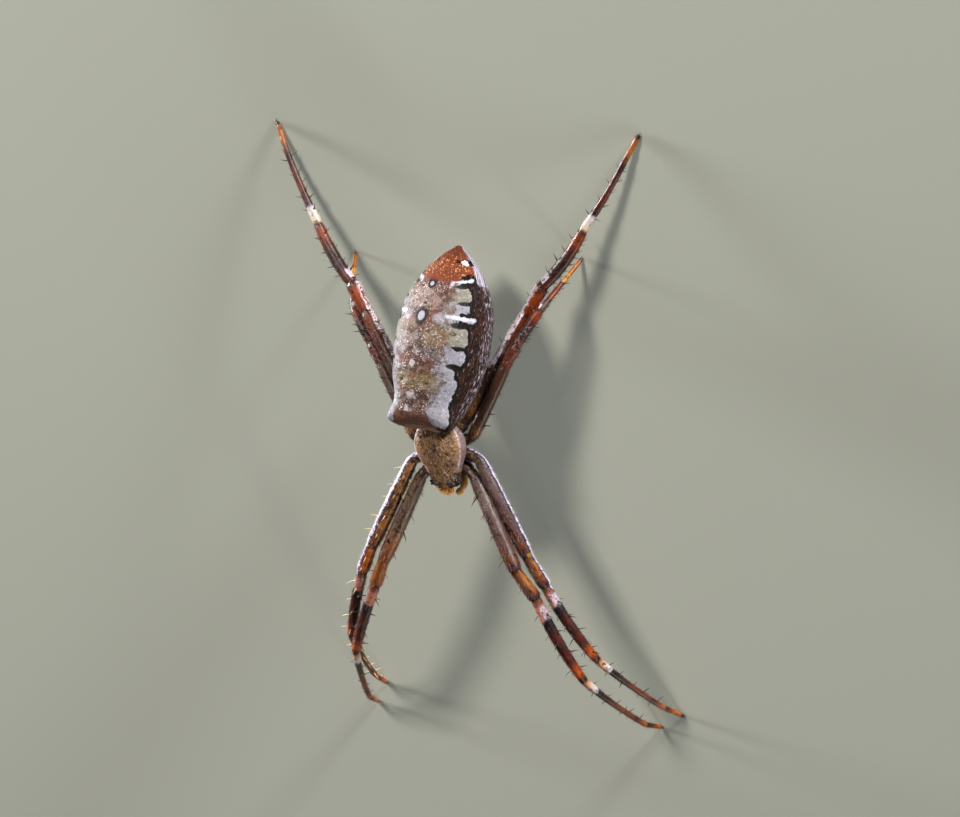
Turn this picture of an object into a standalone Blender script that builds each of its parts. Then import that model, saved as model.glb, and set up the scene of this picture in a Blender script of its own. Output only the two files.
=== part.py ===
"""A life-size orb weaver spider as a still model: head down, legs drawn into four pairs, feet on one floor.

Sizes are in millimetres and become metres as each mesh is made. The spider faces -Y, its left is +X.
The front body (prosoma) has a frame of its own: x to its left, y to its rear, z up from the leg bases.
"""

import math

import bmesh
import bpy
from mathutils import Euler, Matrix, Vector

MM = 0.001
GAP = 0.04  # the thin cut between two parts that meet

# ---------------------------------------------------------------- driving sizes

PROSOMA_HEIGHT = 6.5  # leg bases above the floor
PROSOMA_TURN = (-1.0, 6.0, 0.5)  # degrees: nose up, rolled to its left, turned
CARAPACE_LENGTH = 4.3
CARAPACE_WIDTH = 3.4
CARAPACE_HEIGHT = 1.10

ABDOMEN_LENGTH = 11.15
ABDOMEN_WIDTH = 6.0
ABDOMEN_TOP = 2.25  # axis to back, at the widest place
ABDOMEN_BOTTOM = 2.5  # axis to belly
ABDOMEN_FRONT = (-0.1, 1.8, 1.15)  # front end of its axis, in the prosoma's frame
ABDOMEN_TURN = (-22.0, -3.0, -9.8)  # degrees: tail down, rolled, swung to its left

FOOT_HEIGHT = 0.18  # end of a tarsus's axis above the floor, which cuts it to a small flat
TARSUS_RADIUS = 0.25

# Lengths along each leg, femur to tarsus, by pair from the front.
SEGMENTS = ("femur", "patella", "tibia", "metatarsus", "tarsus")
LENGTHS = {
    1: (6.5, 2.15, 6.1, 6.7, 1.75),
    2: (6.7, 2.2, 5.8, 6.1, 1.65),
    3: (5.2, 1.5, 2.6, 2.8, 1.3),
    4: (7.6, 2.1, 4.4, 5.4, 1.5),
}
# Where the femur starts and where the coxa does, in the prosoma's frame, for the left side.
FEMUR_BASE = {1: (1.77, -1.80, -0.37), 2: (2.26, -0.78, -0.46), 3: (1.91, 0.55, -0.59), 4: (1.58, 1.68, -0.93)}
COXA_BASE = {1: (0.72, -1.00, -0.72), 2: (0.92, -0.42, -0.74), 3: (0.92, 0.22, -0.74), 4: (0.68, 0.80, -0.76)}
FEMUR_RADIUS = {1: 0.44, 2: 0.44, 3: 0.40, 4: 0.48}
# How far the middle of the tibia bows upwards and outwards; the metatarsus bows half as much.
TIBIA_BOW = {1: (0.26, 0.0), 2: (0.26, 0.0), 3: (0.08, 0.0), 4: (0.0, 0.2)}

# The stance, in degrees: the heading outwards from the side, the rise of each segment from level, and the
# further turns of the heading at the tibia, the metatarsus and the tarsus.
STANCE = {
    ("left", 1): (-62.5, (13.0, -8.0, -8.0, -43.5, -62.0), (-7.0, -6.0, -3.0)),
    ("right", 1): (-59.8, (6.0, -7.0, -11.0, -37.0, -55.5), (-0.5, -6.0, -1.0)),
    ("left", 2): (-66.5, (3.5, -5.5, -10.0, -35.5, -48.5), (1.0, 1.5, -2.0)),
    ("right", 2): (-58.5, (6.0, -7.0, -12.5, -41.0, -52.5), (-6.5, -9.5, -5.0)),
    ("left", 3): (60.0, (-9.0, -17.5, -24.0, -49.5, -51.5), (-5.5, 2.5, 1.0)),
    ("right", 3): (56.0, (-18.0, -18.0, -18.0, -45.0, -48.5), (-2.5, 9.0, 2.5)),
    ("left", 4): (57.5, (-17.0, -16.0, -14.0, -12.0, -11.5), (-7.5, 5.0, 2.0)),
    ("right", 4): (56.5, (-15.5, -16.0, -15.5, -15.0, -17.0), (-4.0, 9.0, 3.5)),
}
SIDE = {"left": 1, "right": -1}


# ---------------------------------------------------------------- small tools


def clear_scene():
    for thing in list(bpy.data.objects):
        bpy.data.objects.remove(thing, do_unlink=True)


def finish(name, colour, roughness):
    """A plain Principled finish: colour as linear red, green and blue."""
    material = bpy.data.materials.new(name + "_finish")
    material.use_nodes = True
    shader = material.node_tree.nodes["Principled BSDF"]
    shader.inputs["Base Color"].default_value = (*colour, 1.0)
    shader.inputs["Roughness"].default_value = roughness
    shader.inputs["Metallic"].default_value = 0.0
    material.diffuse_color = (*colour, 1.0)
    return material


def place(name, body, parent, colour, roughness=0.5, location=(0, 0, 0)):
    """Turns a bmesh in millimetres into a named object at a location, in millimetres, under its parent."""
    bmesh.ops.remove_doubles(body, verts=body.verts, dist=1e-4)
    bmesh.ops.recalc_face_normals(body, faces=body.faces)
    bmesh.ops.scale(body, vec=(MM, MM, MM), verts=body.verts)
    mesh = bpy.data.meshes.new(name)
    body.to_mesh(mesh)
    body.free()
    mesh.shade_smooth()
    mesh.materials.append(finish(name, colour, roughness))
    thing = bpy.data.objects.new(name, mesh)
    thing.location = Vector(location) * MM
    thing.parent = parent
    bpy.context.collection.objects.link(thing)
    return thing


def axis_empty(name, parent, location, turn):
    """An empty at a location in millimetres, turned about X, Y and then Z by degrees."""
    empty = bpy.data.objects.new(name, None)
    empty.parent = parent
    empty.location = Vector(location) * MM
    empty.rotation_euler = turned(turn)
    bpy.context.collection.objects.link(empty)
    return empty


def turned(turn):
    """Roll about Y, then pitch about X, then yaw about Z, as one Euler rotation."""
    pitch, roll, yaw = (math.radians(angle) for angle in turn)
    return Euler((pitch, roll, yaw), "YXZ").to_matrix().to_euler("XYZ")


def loft(rings):
    """One closed body through rings of points, with flat ends."""
    body = bmesh.new()
    loops = [[body.verts.new(point) for point in ring] for ring in rings]
    for first, second in zip(loops, loops[1:]):
        for i in range(len(first)):
            j = (i + 1) % len(first)
            body.faces.new((first[i], first[j], second[j], second[i]))
    body.faces.new(loops[0])
    body.faces.new(loops[-1])
    return body


def smooth_between(stations, value):
    """A smooth reading of (place, size) stations at a place, by Catmull-Rom between neighbours."""
    places = [station[0] for station in stations]
    sizes = [station[1] for station in stations]
    k = max(i for i in range(len(places) - 1) if i == 0 or value >= places[i])
    before, after = max(k - 1, 0), min(k + 2, len(places) - 1)
    span = places[k + 1] - places[k]
    t = (value - places[k]) / span
    rise_in = (sizes[k + 1] - sizes[before]) / (places[k + 1] - places[before]) * span
    rise_out = (sizes[after] - sizes[k]) / (places[after] - places[k]) * span
    return (
        sizes[k] * (2 * t**3 - 3 * t**2 + 1)
        + sizes[k + 1] * (3 * t**2 - 2 * t**3)
        + rise_in * (t**3 - 2 * t**2 + t)
        + rise_out * (t**3 - t**2)
    )


def power(value, exponent):
    """A signed power, for superellipses."""
    return math.copysign(abs(value) ** exponent, value)


def tube(path, radii, sides, start_cut=None, end_cut=None):
    """A round tube through a path, its end rings sheared onto the cuts' planes and drawn back by half a gap."""
    rings = []
    last = len(path) - 1
    for k, (centre, radius) in enumerate(zip(path, radii)):
        along = (path[min(k + 1, last)] - path[max(k - 1, 0)]).normalized()
        side = along.cross(Vector((0, 0, 1))).normalized()
        up = side.cross(along)
        cut = start_cut if k == 0 else end_cut if k == last else None
        inward = {0: 1, last: -1}.get(k, 0) if cut else 0
        ring = []
        for i in range(sides):
            angle = 2 * math.pi * i / sides
            spoke = (side * math.cos(angle) + up * math.sin(angle)) * radius
            if cut:
                spoke -= along * (spoke.dot(cut) / along.dot(cut))
            ring.append(centre + spoke + along * (inward * GAP / 2))
        rings.append(ring)
    return loft(rings)


# ---------------------------------------------------------------- abdomen

# Along the axis from the front: half width, back and belly as shares of the widest, and how square it is.
ABDOMEN_WIDTHS = ((0.0, 0.40), (0.02, 0.53), (0.06, 0.63), (0.12, 0.73), (0.30, 0.95), (0.50, 1.0),
                  (0.70, 0.91), (0.87, 0.60), (0.96, 0.29), (1.0, 0.11))
ABDOMEN_BACKS = ((0.0, 0.34), (0.02, 0.56), (0.06, 0.72), (0.12, 0.78), (0.30, 0.93), (0.50, 1.0),
                 (0.70, 0.84), (0.87, 0.52), (0.96, 0.29), (1.0, 0.12))
ABDOMEN_BELLIES = ((0.0, 0.12), (0.02, 0.26), (0.06, 0.40), (0.12, 0.52), (0.30, 0.84), (0.50, 0.98),
                   (0.70, 0.91), (0.87, 0.59), (0.96, 0.30), (1.0, 0.12))
ABDOMEN_RINGS = (0.0, 0.02, 0.05, 0.09, 0.14, 0.2, 0.27, 0.34, 0.42, 0.5, 0.58, 0.66, 0.73, 0.8, 0.86, 0.91,
                 0.95, 0.98, 1.0)
ABDOMEN_SIDES = 28
SHOULDER_RISE = 0.75  # the two humps at the front corners of the back
SHOULDER_PLACE = 0.05
SHOULDER_ANGLE = 42.0


def abdomen_point(share, angle):
    """A point of the abdomen's surface: share along its axis, angle up from its left side."""
    half = smooth_between(ABDOMEN_WIDTHS, share) * ABDOMEN_WIDTH / 2
    back = smooth_between(ABDOMEN_BACKS, share) * ABDOMEN_TOP
    belly = smooth_between(ABDOMEN_BELLIES, share) * ABDOMEN_BOTTOM
    square = 2.0 / (2.25 + 0.9 * max(0.0, 1.0 - share / 0.35))
    x = half * power(math.cos(angle), square)
    z = (back if math.sin(angle) > 0 else belly) * power(math.sin(angle), square)
    from_hump = math.degrees(math.asin(math.sin(angle))) - SHOULDER_ANGLE
    hump = SHOULDER_RISE * math.exp(-((share - SHOULDER_PLACE) / 0.06) ** 2 - (from_hump / 24.0) ** 2)
    return Vector((x + math.copysign(hump, x) * 0.8, share * ABDOMEN_LENGTH - hump * 0.5, z + hump * 0.5))


def make_abdomen(parent):
    rings = []
    for share in ABDOMEN_RINGS:
        rings.append([abdomen_point(share, 2 * math.pi * i / ABDOMEN_SIDES) for i in range(ABDOMEN_SIDES)])
    place("abdomen", loft(rings), parent, (0.32, 0.23, 0.19), 0.4)


SPINNERET_PLACE = 0.80  # along the abdomen
SPINNERET_RADIUS = 0.55
SPINNERET_LENGTH = 0.75
SPINNERET_SIDES = 24


def make_spinnerets(parent):
    """The cluster of six spinnerets, as one six-lobed cone that points down and to the rear."""
    root = abdomen_point(SPINNERET_PLACE, -math.pi / 2)
    ahead = abdomen_point(SPINNERET_PLACE - 0.02, -math.pi / 2)
    rearward = (root - ahead).normalized()
    down = Vector((1, 0, 0)).cross(rearward) * -1
    lean = (down + rearward * 0.55).normalized()
    rings = []
    for share, size in ((0.0, 1.0), (0.35, 0.98), (0.7, 0.78), (0.92, 0.5), (1.0, 0.25)):
        ring = []
        for i in range(SPINNERET_SIDES):
            angle = 2 * math.pi * i / SPINNERET_SIDES
            radius = SPINNERET_RADIUS * size * (1 + 0.14 * share * math.cos(6 * angle))
            spoke = Vector((math.cos(angle), 0, 0)) + rearward * math.sin(angle)
            ring.append(root + down * GAP + spoke * radius + lean * share * SPINNERET_LENGTH)
        rings.append(ring)
    place("spinnerets", loft(rings), parent, (0.12, 0.05, 0.03), 0.5)


# ---------------------------------------------------------------- prosoma

CARAPACE_FRONT = -2.4
CARAPACE_RIM = -0.05  # its flat underside
# Along its length from the face: half width and height above the rim, as shares.
CARAPACE_WIDTHS = ((0.0, 0.46), (0.06, 0.60), (0.20, 0.66), (0.33, 0.77), (0.48, 0.93), (0.62, 1.0),
                   (0.78, 0.94), (0.90, 0.72), (1.0, 0.36))
CARAPACE_HEIGHTS = ((0.0, 0.20), (0.06, 0.29), (0.12, 0.40), (0.20, 0.50), (0.33, 0.68), (0.48, 0.87),
                    (0.64, 1.0), (0.78, 0.90), (0.90, 0.54), (1.0, 0.10))
CARAPACE_RINGS = (0.0, 0.03, 0.07, 0.14, 0.22, 0.31, 0.4, 0.5, 0.6, 0.7, 0.79, 0.87, 0.94, 1.0)
CARAPACE_SIDES = 20


def carapace_point(share, angle):
    """A point of the carapace: share from the face to the rear, angle up from its left rim to its right."""
    half = smooth_between(CARAPACE_WIDTHS, share) * CARAPACE_WIDTH / 2
    height = smooth_between(CARAPACE_HEIGHTS, share) * CARAPACE_HEIGHT
    x = half * power(math.cos(angle), 0.8)
    z = CARAPACE_RIM + height * power(math.sin(angle), 0.8)
    return Vector((x, CARAPACE_FRONT + share * CARAPACE_LENGTH, z))


def make_carapace(parent):
    rings = []
    for share in CARAPACE_RINGS:
        rings.append([carapace_point(share, math.pi * i / CARAPACE_SIDES) for i in range(CARAPACE_SIDES + 1)])
    place("carapace", loft(rings), parent, (0.36, 0.24, 0.13), 0.55)


STERNUM_BOTTOM = -1.32
STERNUM_FRONT, STERNUM_REAR = -1.15, 1.1
STERNUM_HALF_WIDTH = 0.72


def make_sternum(parent):
    """The heart-shaped chest plate with the core between the leg bases, up to the carapace."""
    outline = []
    for i in range(24):
        angle = 2 * math.pi * i / 24
        along = 0.5 - 0.5 * math.cos(angle)  # 0 at the front, 1 at the rear
        y = STERNUM_FRONT + (STERNUM_REAR - STERNUM_FRONT) * along
        outline.append(Vector((STERNUM_HALF_WIDTH * math.sin(angle) * (1.12 - 0.35 * along), y, 0)))
    top = CARAPACE_RIM - GAP
    rings = []
    for height, size in ((STERNUM_BOTTOM, 0.7), (STERNUM_BOTTOM + 0.14, 0.95), (-0.95, 1.0), (-0.5, 0.86), (top, 0.8)):
        rings.append([Vector((p.x * size, p.y * size, height)) for p in outline])
    place("sternum", loft(rings), parent, (0.16, 0.09, 0.05), 0.6)


def make_pedicel(parent):
    """The narrow waist, from under the carapace's rear to the abdomen."""
    path = [Vector((0.0, 1.0, -0.46)), Vector((0.0, 1.5, -0.46)), Vector((-0.03, 1.9, -0.38)), Vector((-0.08, 2.25, -0.28))]
    place("pedicel", tube(path, (0.25, 0.28, 0.28, 0.30), 12), parent, (0.20, 0.11, 0.06), 0.5)


def make_chelicera(parent, side):
    """One jaw: a stout base that hangs from under the face, with its fang folded inwards."""
    mirror = SIDE[side]
    path = [
        Vector((0.33 * mirror, -2.02, -0.10)),
        Vector((0.33 * mirror, -2.12, -0.35)),
        Vector((0.34 * mirror, -2.18, -0.75)),
        Vector((0.34 * mirror, -2.14, -1.15)),
        Vector((0.31 * mirror, -2.05, -1.42)),
        Vector((0.27 * mirror, -1.95, -1.58)),
    ]
    rings = []
    for centre, radius in zip(path, (0.24, 0.30, 0.31, 0.29, 0.22, 0.08)):
        rings.append([
            centre + Vector((math.cos(a), math.sin(a) * 1.1, 0)) * radius
            for a in (2 * math.pi * i / 12 for i in range(12))
        ])
    place("chelicera_" + side, loft(rings), parent, (0.09, 0.035, 0.02), 0.25)


PALP_PATH = ((0.42, -1.44, -1.00), (0.62, -1.62, -1.00), (0.80, -1.84, -0.92), (0.92, -2.16, -0.80),
             (0.87, -2.54, -0.66), (0.69, -2.82, -0.60), (0.49, -2.99, -0.72), (0.38, -3.07, -0.95),
             (0.32, -3.10, -1.20), (0.30, -3.06, -1.42))
PALP_RADII = (0.25, 0.25, 0.21, 0.22, 0.25, 0.23, 0.27, 0.29, 0.25, 0.12)


def make_palp(parent, side):
    path = [Vector((x * SIDE[side], y, z)) for x, y, z in PALP_PATH]
    place("palp_" + side, tube(path, PALP_RADII, 10), parent, (0.62, 0.27, 0.05), 0.35)


# Each eye's share along the carapace, its angle over the carapace from the side, and its radius.
EYES = {
    "eye_rear_median": (0.060, 76.0, 0.15),
    "eye_front_median": (0.006, 66.0, 0.11),
    "eye_rear_lateral": (0.107, 44.0, 0.12),
    "eye_front_lateral": (0.050, 29.0, 0.10),
}


def make_eye(name, parent, side, share, degrees, radius):
    """A dome that stands on the carapace, square to its surface."""
    angle = math.radians(degrees)
    step = 0.02
    centre = carapace_point(share, angle)
    along = carapace_point(share + step, angle) - centre
    around = carapace_point(share, angle + step) - centre
    outward = along.cross(around).normalized() * -1
    if outward.y > 0:
        outward *= -1
    body = bmesh.new()
    bmesh.ops.create_icosphere(body, subdivisions=2, radius=radius)
    cut = bmesh.ops.bisect_plane(
        body, geom=body.verts[:] + body.edges[:] + body.faces[:], plane_co=(0, 0, -0.25 * radius),
        plane_no=(0, 0, -1), clear_outer=True
    )
    rim = [piece for piece in cut["geom_cut"] if isinstance(piece, bmesh.types.BMEdge)]
    bmesh.ops.edgeloop_fill(body, edges=rim)
    lift = Matrix.Translation(centre + outward * (0.25 * radius + GAP / 2))
    stand = outward.to_track_quat("Z", "Y").to_matrix().to_4x4()
    bmesh.ops.transform(body, matrix=lift @ stand, verts=body.verts)
    if side == "right":
        bmesh.ops.scale(body, vec=(-1, 1, 1), verts=body.verts)
    place(name + "_" + side, body, parent, (0.012, 0.008, 0.008), 0.08)


# ---------------------------------------------------------------- legs


def heading(side, turn, rise):
    """The direction of a segment: turn back from straight out sideways, rise from level."""
    turn, rise = math.radians(turn), math.radians(rise)
    return Vector((SIDE[side] * math.cos(turn) * math.cos(rise), math.sin(turn) * math.cos(rise), math.sin(rise)))


def leg_joints(side, pair, base):
    """The joints from the femur's base to the foot, the whole leg tipped so that its foot meets the floor."""
    turn, rises, turns = STANCE[side, pair]
    turns = (0.0, 0.0) + turns

    def joints(tip_by):
        points = [base]
        now = turn
        for length, rise, more in zip(LENGTHS[pair], rises, turns):
            now += more
            points.append(points[-1] + heading(side, now, rise + tip_by) * length)
        return points

    low, high = -20.0, 20.0
    for _ in range(50):
        middle = (low + high) / 2
        if joints(middle)[-1].z > FOOT_HEIGHT:
            high = middle
        else:
            low = middle
    return joints(low)


def cut_between(before, joint, after):
    """The plane on which two segments meet: square to the middle of their directions."""
    return ((joint - before).normalized() + (after - joint).normalized()).normalized()


# Radii along each segment as shares of the femur's, at even steps from its base to its far end.
SEGMENT_SHAPE = {
    "coxa": (0.64, 0.90, 1.0, 0.92, 0.84),
    "front_femur": (0.78, 0.93, 1.03, 1.07, 1.03, 0.88),
    "femur": (0.80, 0.96, 1.0, 0.99, 0.94, 0.82),
    "patella": (0.82, 0.94, 0.84),
    "tibia": (0.78, 0.82, 0.80, 0.75, 0.62),
    "metatarsus": (0.62, 0.58, 0.54, 0.52, 0.52),
}
LEG_SIDES = {"coxa": 12, "femur": 12, "tibia": 12, "metatarsus": 10, "tarsus": 10}
FEMUR_COLOUR = (0.20, 0.12, 0.10)
LEG_COLOURS = {
    "coxa": (0.17, 0.10, 0.09),
    "femur": FEMUR_COLOUR,
    "tibia": (0.30, 0.08, 0.03),
    "metatarsus": (0.24, 0.07, 0.03),
    "tarsus": (0.42, 0.13, 0.04),
}


def stations(start, end, radii, radius, bow=Vector((0, 0, 0))):
    """Even steps from start to end, bowed off the straight line in the middle, with their radii."""
    count = len(radii) - 1
    steps = [k / count for k in range(count + 1)]
    points = [start.lerp(end, t) + bow * (4 * t * (1 - t)) for t in steps]
    return points, [max(share * radius, TARSUS_RADIUS) for share in radii]


def bow_of(start, end, side, pair):
    """The sideways offset of a tibia's middle: so much upwards and so much away from the body."""
    along = (end - start).normalized()
    outward = along.cross(Vector((0, 0, 1))).normalized()
    if outward.x * SIDE[side] < 0:
        outward = -outward
    upward = outward.cross(along)
    if upward.z < 0:
        upward = -upward
    up, out = TIBIA_BOW[pair]
    return upward * up + outward * out


def make_leg(parent, prosoma, side, pair):
    """One leg in five parts: coxa with trochanter, femur, patella with tibia, metatarsus and tarsus."""
    mirror = Vector((SIDE[side], 1, 1))
    base = prosoma @ (Vector(FEMUR_BASE[pair]) * mirror)
    coxa = prosoma @ (Vector(COXA_BASE[pair]) * mirror)
    points = [coxa] + leg_joints(side, pair, base)
    cuts = [None] + [cut_between(*points[k - 1 : k + 2]) for k in range(1, len(points) - 1)] + [None]
    radius = FEMUR_RADIUS[pair]
    name = "leg_{}_{}_".format(side, pair)

    def segment(part, path, radii, first_cut, last_cut):
        origin = path[0]
        moved = [point - origin for point in path]
        body = tube(moved, radii, LEG_SIDES[part], first_cut, last_cut)
        if part == "tarsus":
            stand_on_floor(body, origin)
        place(name + part, body, parent, LEG_COLOURS[part], 0.45, origin)

    segment("coxa", *stations(points[0], points[1], SEGMENT_SHAPE["coxa"], radius), None, cuts[1])
    thigh = SEGMENT_SHAPE["front_femur" if pair < 3 else "femur"]
    segment("femur", *stations(points[1], points[2], thigh, radius), cuts[1], cuts[2])
    knee, knee_radii = stations(points[2], points[3], SEGMENT_SHAPE["patella"], radius)
    bow = bow_of(points[3], points[4], side, pair)
    shin, shin_radii = stations(points[3], points[4], SEGMENT_SHAPE["tibia"], radius, bow)
    segment("tibia", knee[:-1] + shin, knee_radii[:-1] + shin_radii, cuts[2], cuts[4])
    bow = bow_of(points[4], points[5], side, pair) * 0.5
    shank, shank_radii = stations(points[4], points[5], SEGMENT_SHAPE["metatarsus"], radius, bow)
    segment("metatarsus", shank, shank_radii, cuts[4], cuts[5])
    foot, foot_radii = stations(points[5], points[6], (0, 0, 0), radius)
    ahead = (points[6] - points[5]).normalized()
    for reach, share in ((0.5, 0.87), (0.87, 0.5), (0.98, 0.2)):
        foot.append(points[6] + ahead * reach * TARSUS_RADIUS)
        foot_radii.append(share * TARSUS_RADIUS)
    segment("tarsus", foot, foot_radii, cuts[5], None)


def stand_on_floor(body, origin):
    """Cuts the foot flat at the floor."""
    cut = bmesh.ops.bisect_plane(
        body, geom=body.verts[:] + body.edges[:] + body.faces[:], plane_co=(0, 0, -origin.z),
        plane_no=(0, 0, -1), clear_outer=True
    )
    rim = [piece for piece in cut["geom_cut"] if isinstance(piece, bmesh.types.BMEdge)]
    bmesh.ops.edgeloop_fill(body, edges=rim)


# ---------------------------------------------------------------- assembly


def centre_over_floor(root):
    """Moves the whole spider so that the middle of its box stands over the origin."""
    bpy.context.view_layer.update()
    corners = [
        thing.matrix_world @ vertex.co for thing in bpy.data.objects if thing.type == "MESH"
        for vertex in thing.data.vertices
    ]
    for axis in (0, 1):
        values = [corner[axis] for corner in corners]
        root.location[axis] -= (min(values) + max(values)) / 2
    bpy.context.view_layer.update()


def main():
    clear_scene()
    root = axis_empty("spider", None, (0, 0, 0), (0, 0, 0))
    front = axis_empty("prosoma_axis", root, (0, 0, PROSOMA_HEIGHT), PROSOMA_TURN)
    rear = axis_empty("abdomen_axis", front, ABDOMEN_FRONT, ABDOMEN_TURN)
    make_carapace(front)
    make_sternum(front)
    make_pedicel(front)
    for side in SIDE:
        make_chelicera(front, side)
        make_palp(front, side)
        for name, values in EYES.items():
            make_eye(name, front, side, *values)
    make_abdomen(rear)
    make_spinnerets(rear)
    prosoma = Matrix.Translation((0, 0, PROSOMA_HEIGHT)) @ turned(PROSOMA_TURN).to_matrix().to_4x4()
    for side, pair in STANCE:
        make_leg(root, prosoma, side, pair)
    centre_over_floor(root)


main()
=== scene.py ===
"""An orb weaver spider as a museum model: skins, shell plates, eyes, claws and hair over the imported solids.

Sizes are in millimetres and become metres as each mesh is made. The spider faces -Y and its left is +X.
"""

import math

import bmesh
import bpy
import numpy as np
from mathutils import Euler, Matrix, Vector


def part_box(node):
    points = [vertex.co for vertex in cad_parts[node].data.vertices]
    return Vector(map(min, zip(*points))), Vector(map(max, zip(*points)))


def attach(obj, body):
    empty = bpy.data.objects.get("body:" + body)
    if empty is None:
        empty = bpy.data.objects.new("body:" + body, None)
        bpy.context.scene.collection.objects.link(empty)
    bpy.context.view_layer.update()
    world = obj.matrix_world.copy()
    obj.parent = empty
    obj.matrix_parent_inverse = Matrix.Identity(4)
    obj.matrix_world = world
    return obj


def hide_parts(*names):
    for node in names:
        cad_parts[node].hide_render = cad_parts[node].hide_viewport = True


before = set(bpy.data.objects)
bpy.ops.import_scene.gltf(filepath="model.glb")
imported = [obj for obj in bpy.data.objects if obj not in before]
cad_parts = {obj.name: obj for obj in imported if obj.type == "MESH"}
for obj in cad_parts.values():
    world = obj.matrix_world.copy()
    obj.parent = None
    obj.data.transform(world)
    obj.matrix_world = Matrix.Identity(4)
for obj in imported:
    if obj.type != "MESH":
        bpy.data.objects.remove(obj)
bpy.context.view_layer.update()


# ==================================================================== abdomen
# The soft sac behind the waist: a thin leathery skin, glossy where light catches its grain, cast in one piece
# and painted with a white lobed band down each side of a mottled back, a black border and a rust-brown tail.

MM = 0.001
PROSOMA_HEIGHT = 6.5
PROSOMA_TURN = (-1.0, 6.0, 0.5)
ABDOMEN_LENGTH, ABDOMEN_WIDTH, ABDOMEN_TOP, ABDOMEN_BOTTOM = 11.15, 6.0, 2.25, 2.5
ABDOMEN_FRONT = (-0.1, 1.8, 1.15)
ABDOMEN_TURN = (-22.0, -3.0, -9.8)
ABDOMEN_WIDTHS = ((0.0, 0.40), (0.02, 0.53), (0.06, 0.63), (0.12, 0.73), (0.30, 0.95), (0.50, 1.0),
                  (0.70, 0.91), (0.87, 0.60), (0.96, 0.29), (1.0, 0.11))
ABDOMEN_BACKS = ((0.0, 0.34), (0.02, 0.56), (0.06, 0.72), (0.12, 0.78), (0.30, 0.93), (0.50, 1.0),
                 (0.70, 0.84), (0.87, 0.52), (0.96, 0.29), (1.0, 0.12))
ABDOMEN_BELLIES = ((0.0, 0.12), (0.02, 0.26), (0.06, 0.40), (0.12, 0.52), (0.30, 0.84), (0.50, 0.98),
                   (0.70, 0.91), (0.87, 0.59), (0.96, 0.30), (1.0, 0.12))
ABDOMEN_RINGS, ABDOMEN_AROUND = 270, 216
SHOULDER_RISE, SHOULDER_PLACE, SHOULDER_ANGLE = 0.75, 0.05, 42.0
SHOULDER_REACH, SHOULDER_SPREAD = 0.06, 24.0  # share of the length, and degrees
ABDOMEN_INSET = 0.03  # how deep the skin lies in the solid, under its short hair
MIDLINE = 104.0  # degrees up from its left side to the middle of its markings: the sac sits a little twisted
ABDOMEN_CAPS = np.array([0.12, 0.35, 0.6, 0.82, 0.95])  # rings that close an end, as shares of its last one
FRONT_CAP, REAR_CAP = 0.10, 0.16  # how far each end bulges
# The white lobes of each band, front to rear: place along the sac, half length, inner and outer edge in
# degrees from the middle line, then how white and how cream each is.
LOBES = (
    (0.105, 0.080, 22, 57, 0.45, 0.0),
    (0.215, 0.070, 18, 60, 0.30, 0.1),
    (0.300, 0.048, 20, 52, 0.20, 0.3),
    (0.402, 0.044, 10, 64, 0.30, 0.0),
    (0.512, 0.058, 10, 62, 0.10, 0.9),
    (0.618, 0.013, 26, 71, 1.00, 0.0),
    (0.600, 0.036, 13, 30, 0.60, 0.0),
    (0.668, 0.028, 14, 61, 0.30, 0.3),
    (0.738, 0.042, 24, 62, 0.15, 0.8),
    (0.808, 0.009, 26, 72, 1.00, 0.0),
    (0.798, 0.018, 23, 32, 0.80, 0.0),
)
# The strip that joins the lobes: its place and half length, and its edges in degrees.
BAND_MIDDLE, BAND_HALF, BAND_INNER, BAND_OUTER = 0.43, 0.37, 20.0, 46.0
# Place along the sac, half length, then side and half width in degrees from the middle line.
OVALS = ((0.602, 0.034, 0.0, 5.5), (0.80, 0.018, 1.5, 4.4))
SMUDGES = ((0.09, 0.020, 2, 7), (0.163, 0.026, -2, 11), (0.335, 0.026, 1, 7), (0.41, 0.03, -2, 6))
PITS = ((0.235, 17), (0.425, 20), (0.672, 20), (0.672, 1))  # sigilla, where muscles meet the skin
PIT_RADIUS, PIT_DEPTH, BAND_SWELL, FOLD_HEIGHT = 0.09, 0.06, 0.03, 0.018
BAR_SLANT, SLANT_START = 0.0034, 0.62  # the rear bars slant: how much, and from which share of the length on
# Dark cuts between the lobes: place, degrees from the middle line, half length.
NOTCHES = ((0.352, 49, 0.011), (0.455, 52, 0.008), (0.577, 47, 0.013), (0.695, 52, 0.008), (0.783, 48, 0.009))


def smooth_read(stations, places):
    """A smooth reading of (place, size) stations at an array of places, through every station."""
    at, size = (np.array(column) for column in zip(*stations))
    k = np.clip(np.searchsorted(at, places, side="right") - 1, 0, len(at) - 2)
    before, after = np.maximum(k - 1, 0), np.minimum(k + 2, len(at) - 1)
    span = at[k + 1] - at[k]
    t = (places - at[k]) / span
    rise_in = (size[k + 1] - size[before]) / (at[k + 1] - at[before]) * span
    rise_out = (size[after] - size[k]) / (at[after] - at[k]) * span
    start, end = size[k] * (2 * t**3 - 3 * t**2 + 1), size[k + 1] * (3 * t**2 - 2 * t**3)
    return start + end + rise_in * (t**3 - 2 * t**2 + t) + rise_out * (t**3 - t**2)


def power(value, exponent):
    """A signed power, for superellipses."""
    return np.sign(value) * np.abs(value) ** exponent


def round_angles(count):
    """Evenly spaced angles round a ring, in radians."""
    return np.radians(np.arange(count) * 360.0 / count)


def turn_matrix(turn):
    """Roll about Y, then pitch about X, then yaw about Z, from (pitch, roll, yaw) in degrees."""
    return np.array(Euler([math.radians(angle) for angle in turn], "YXZ").to_matrix())


PROSOMA_AXES = turn_matrix(PROSOMA_TURN)
ABDOMEN_AXES = PROSOMA_AXES @ turn_matrix(ABDOMEN_TURN)


def in_prosoma(points):
    """Points of the front body's own frame, in the spider's frame before it is centred."""
    return np.array([0, 0, PROSOMA_HEIGHT]) + np.asarray(points, float) @ PROSOMA_AXES.T


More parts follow.
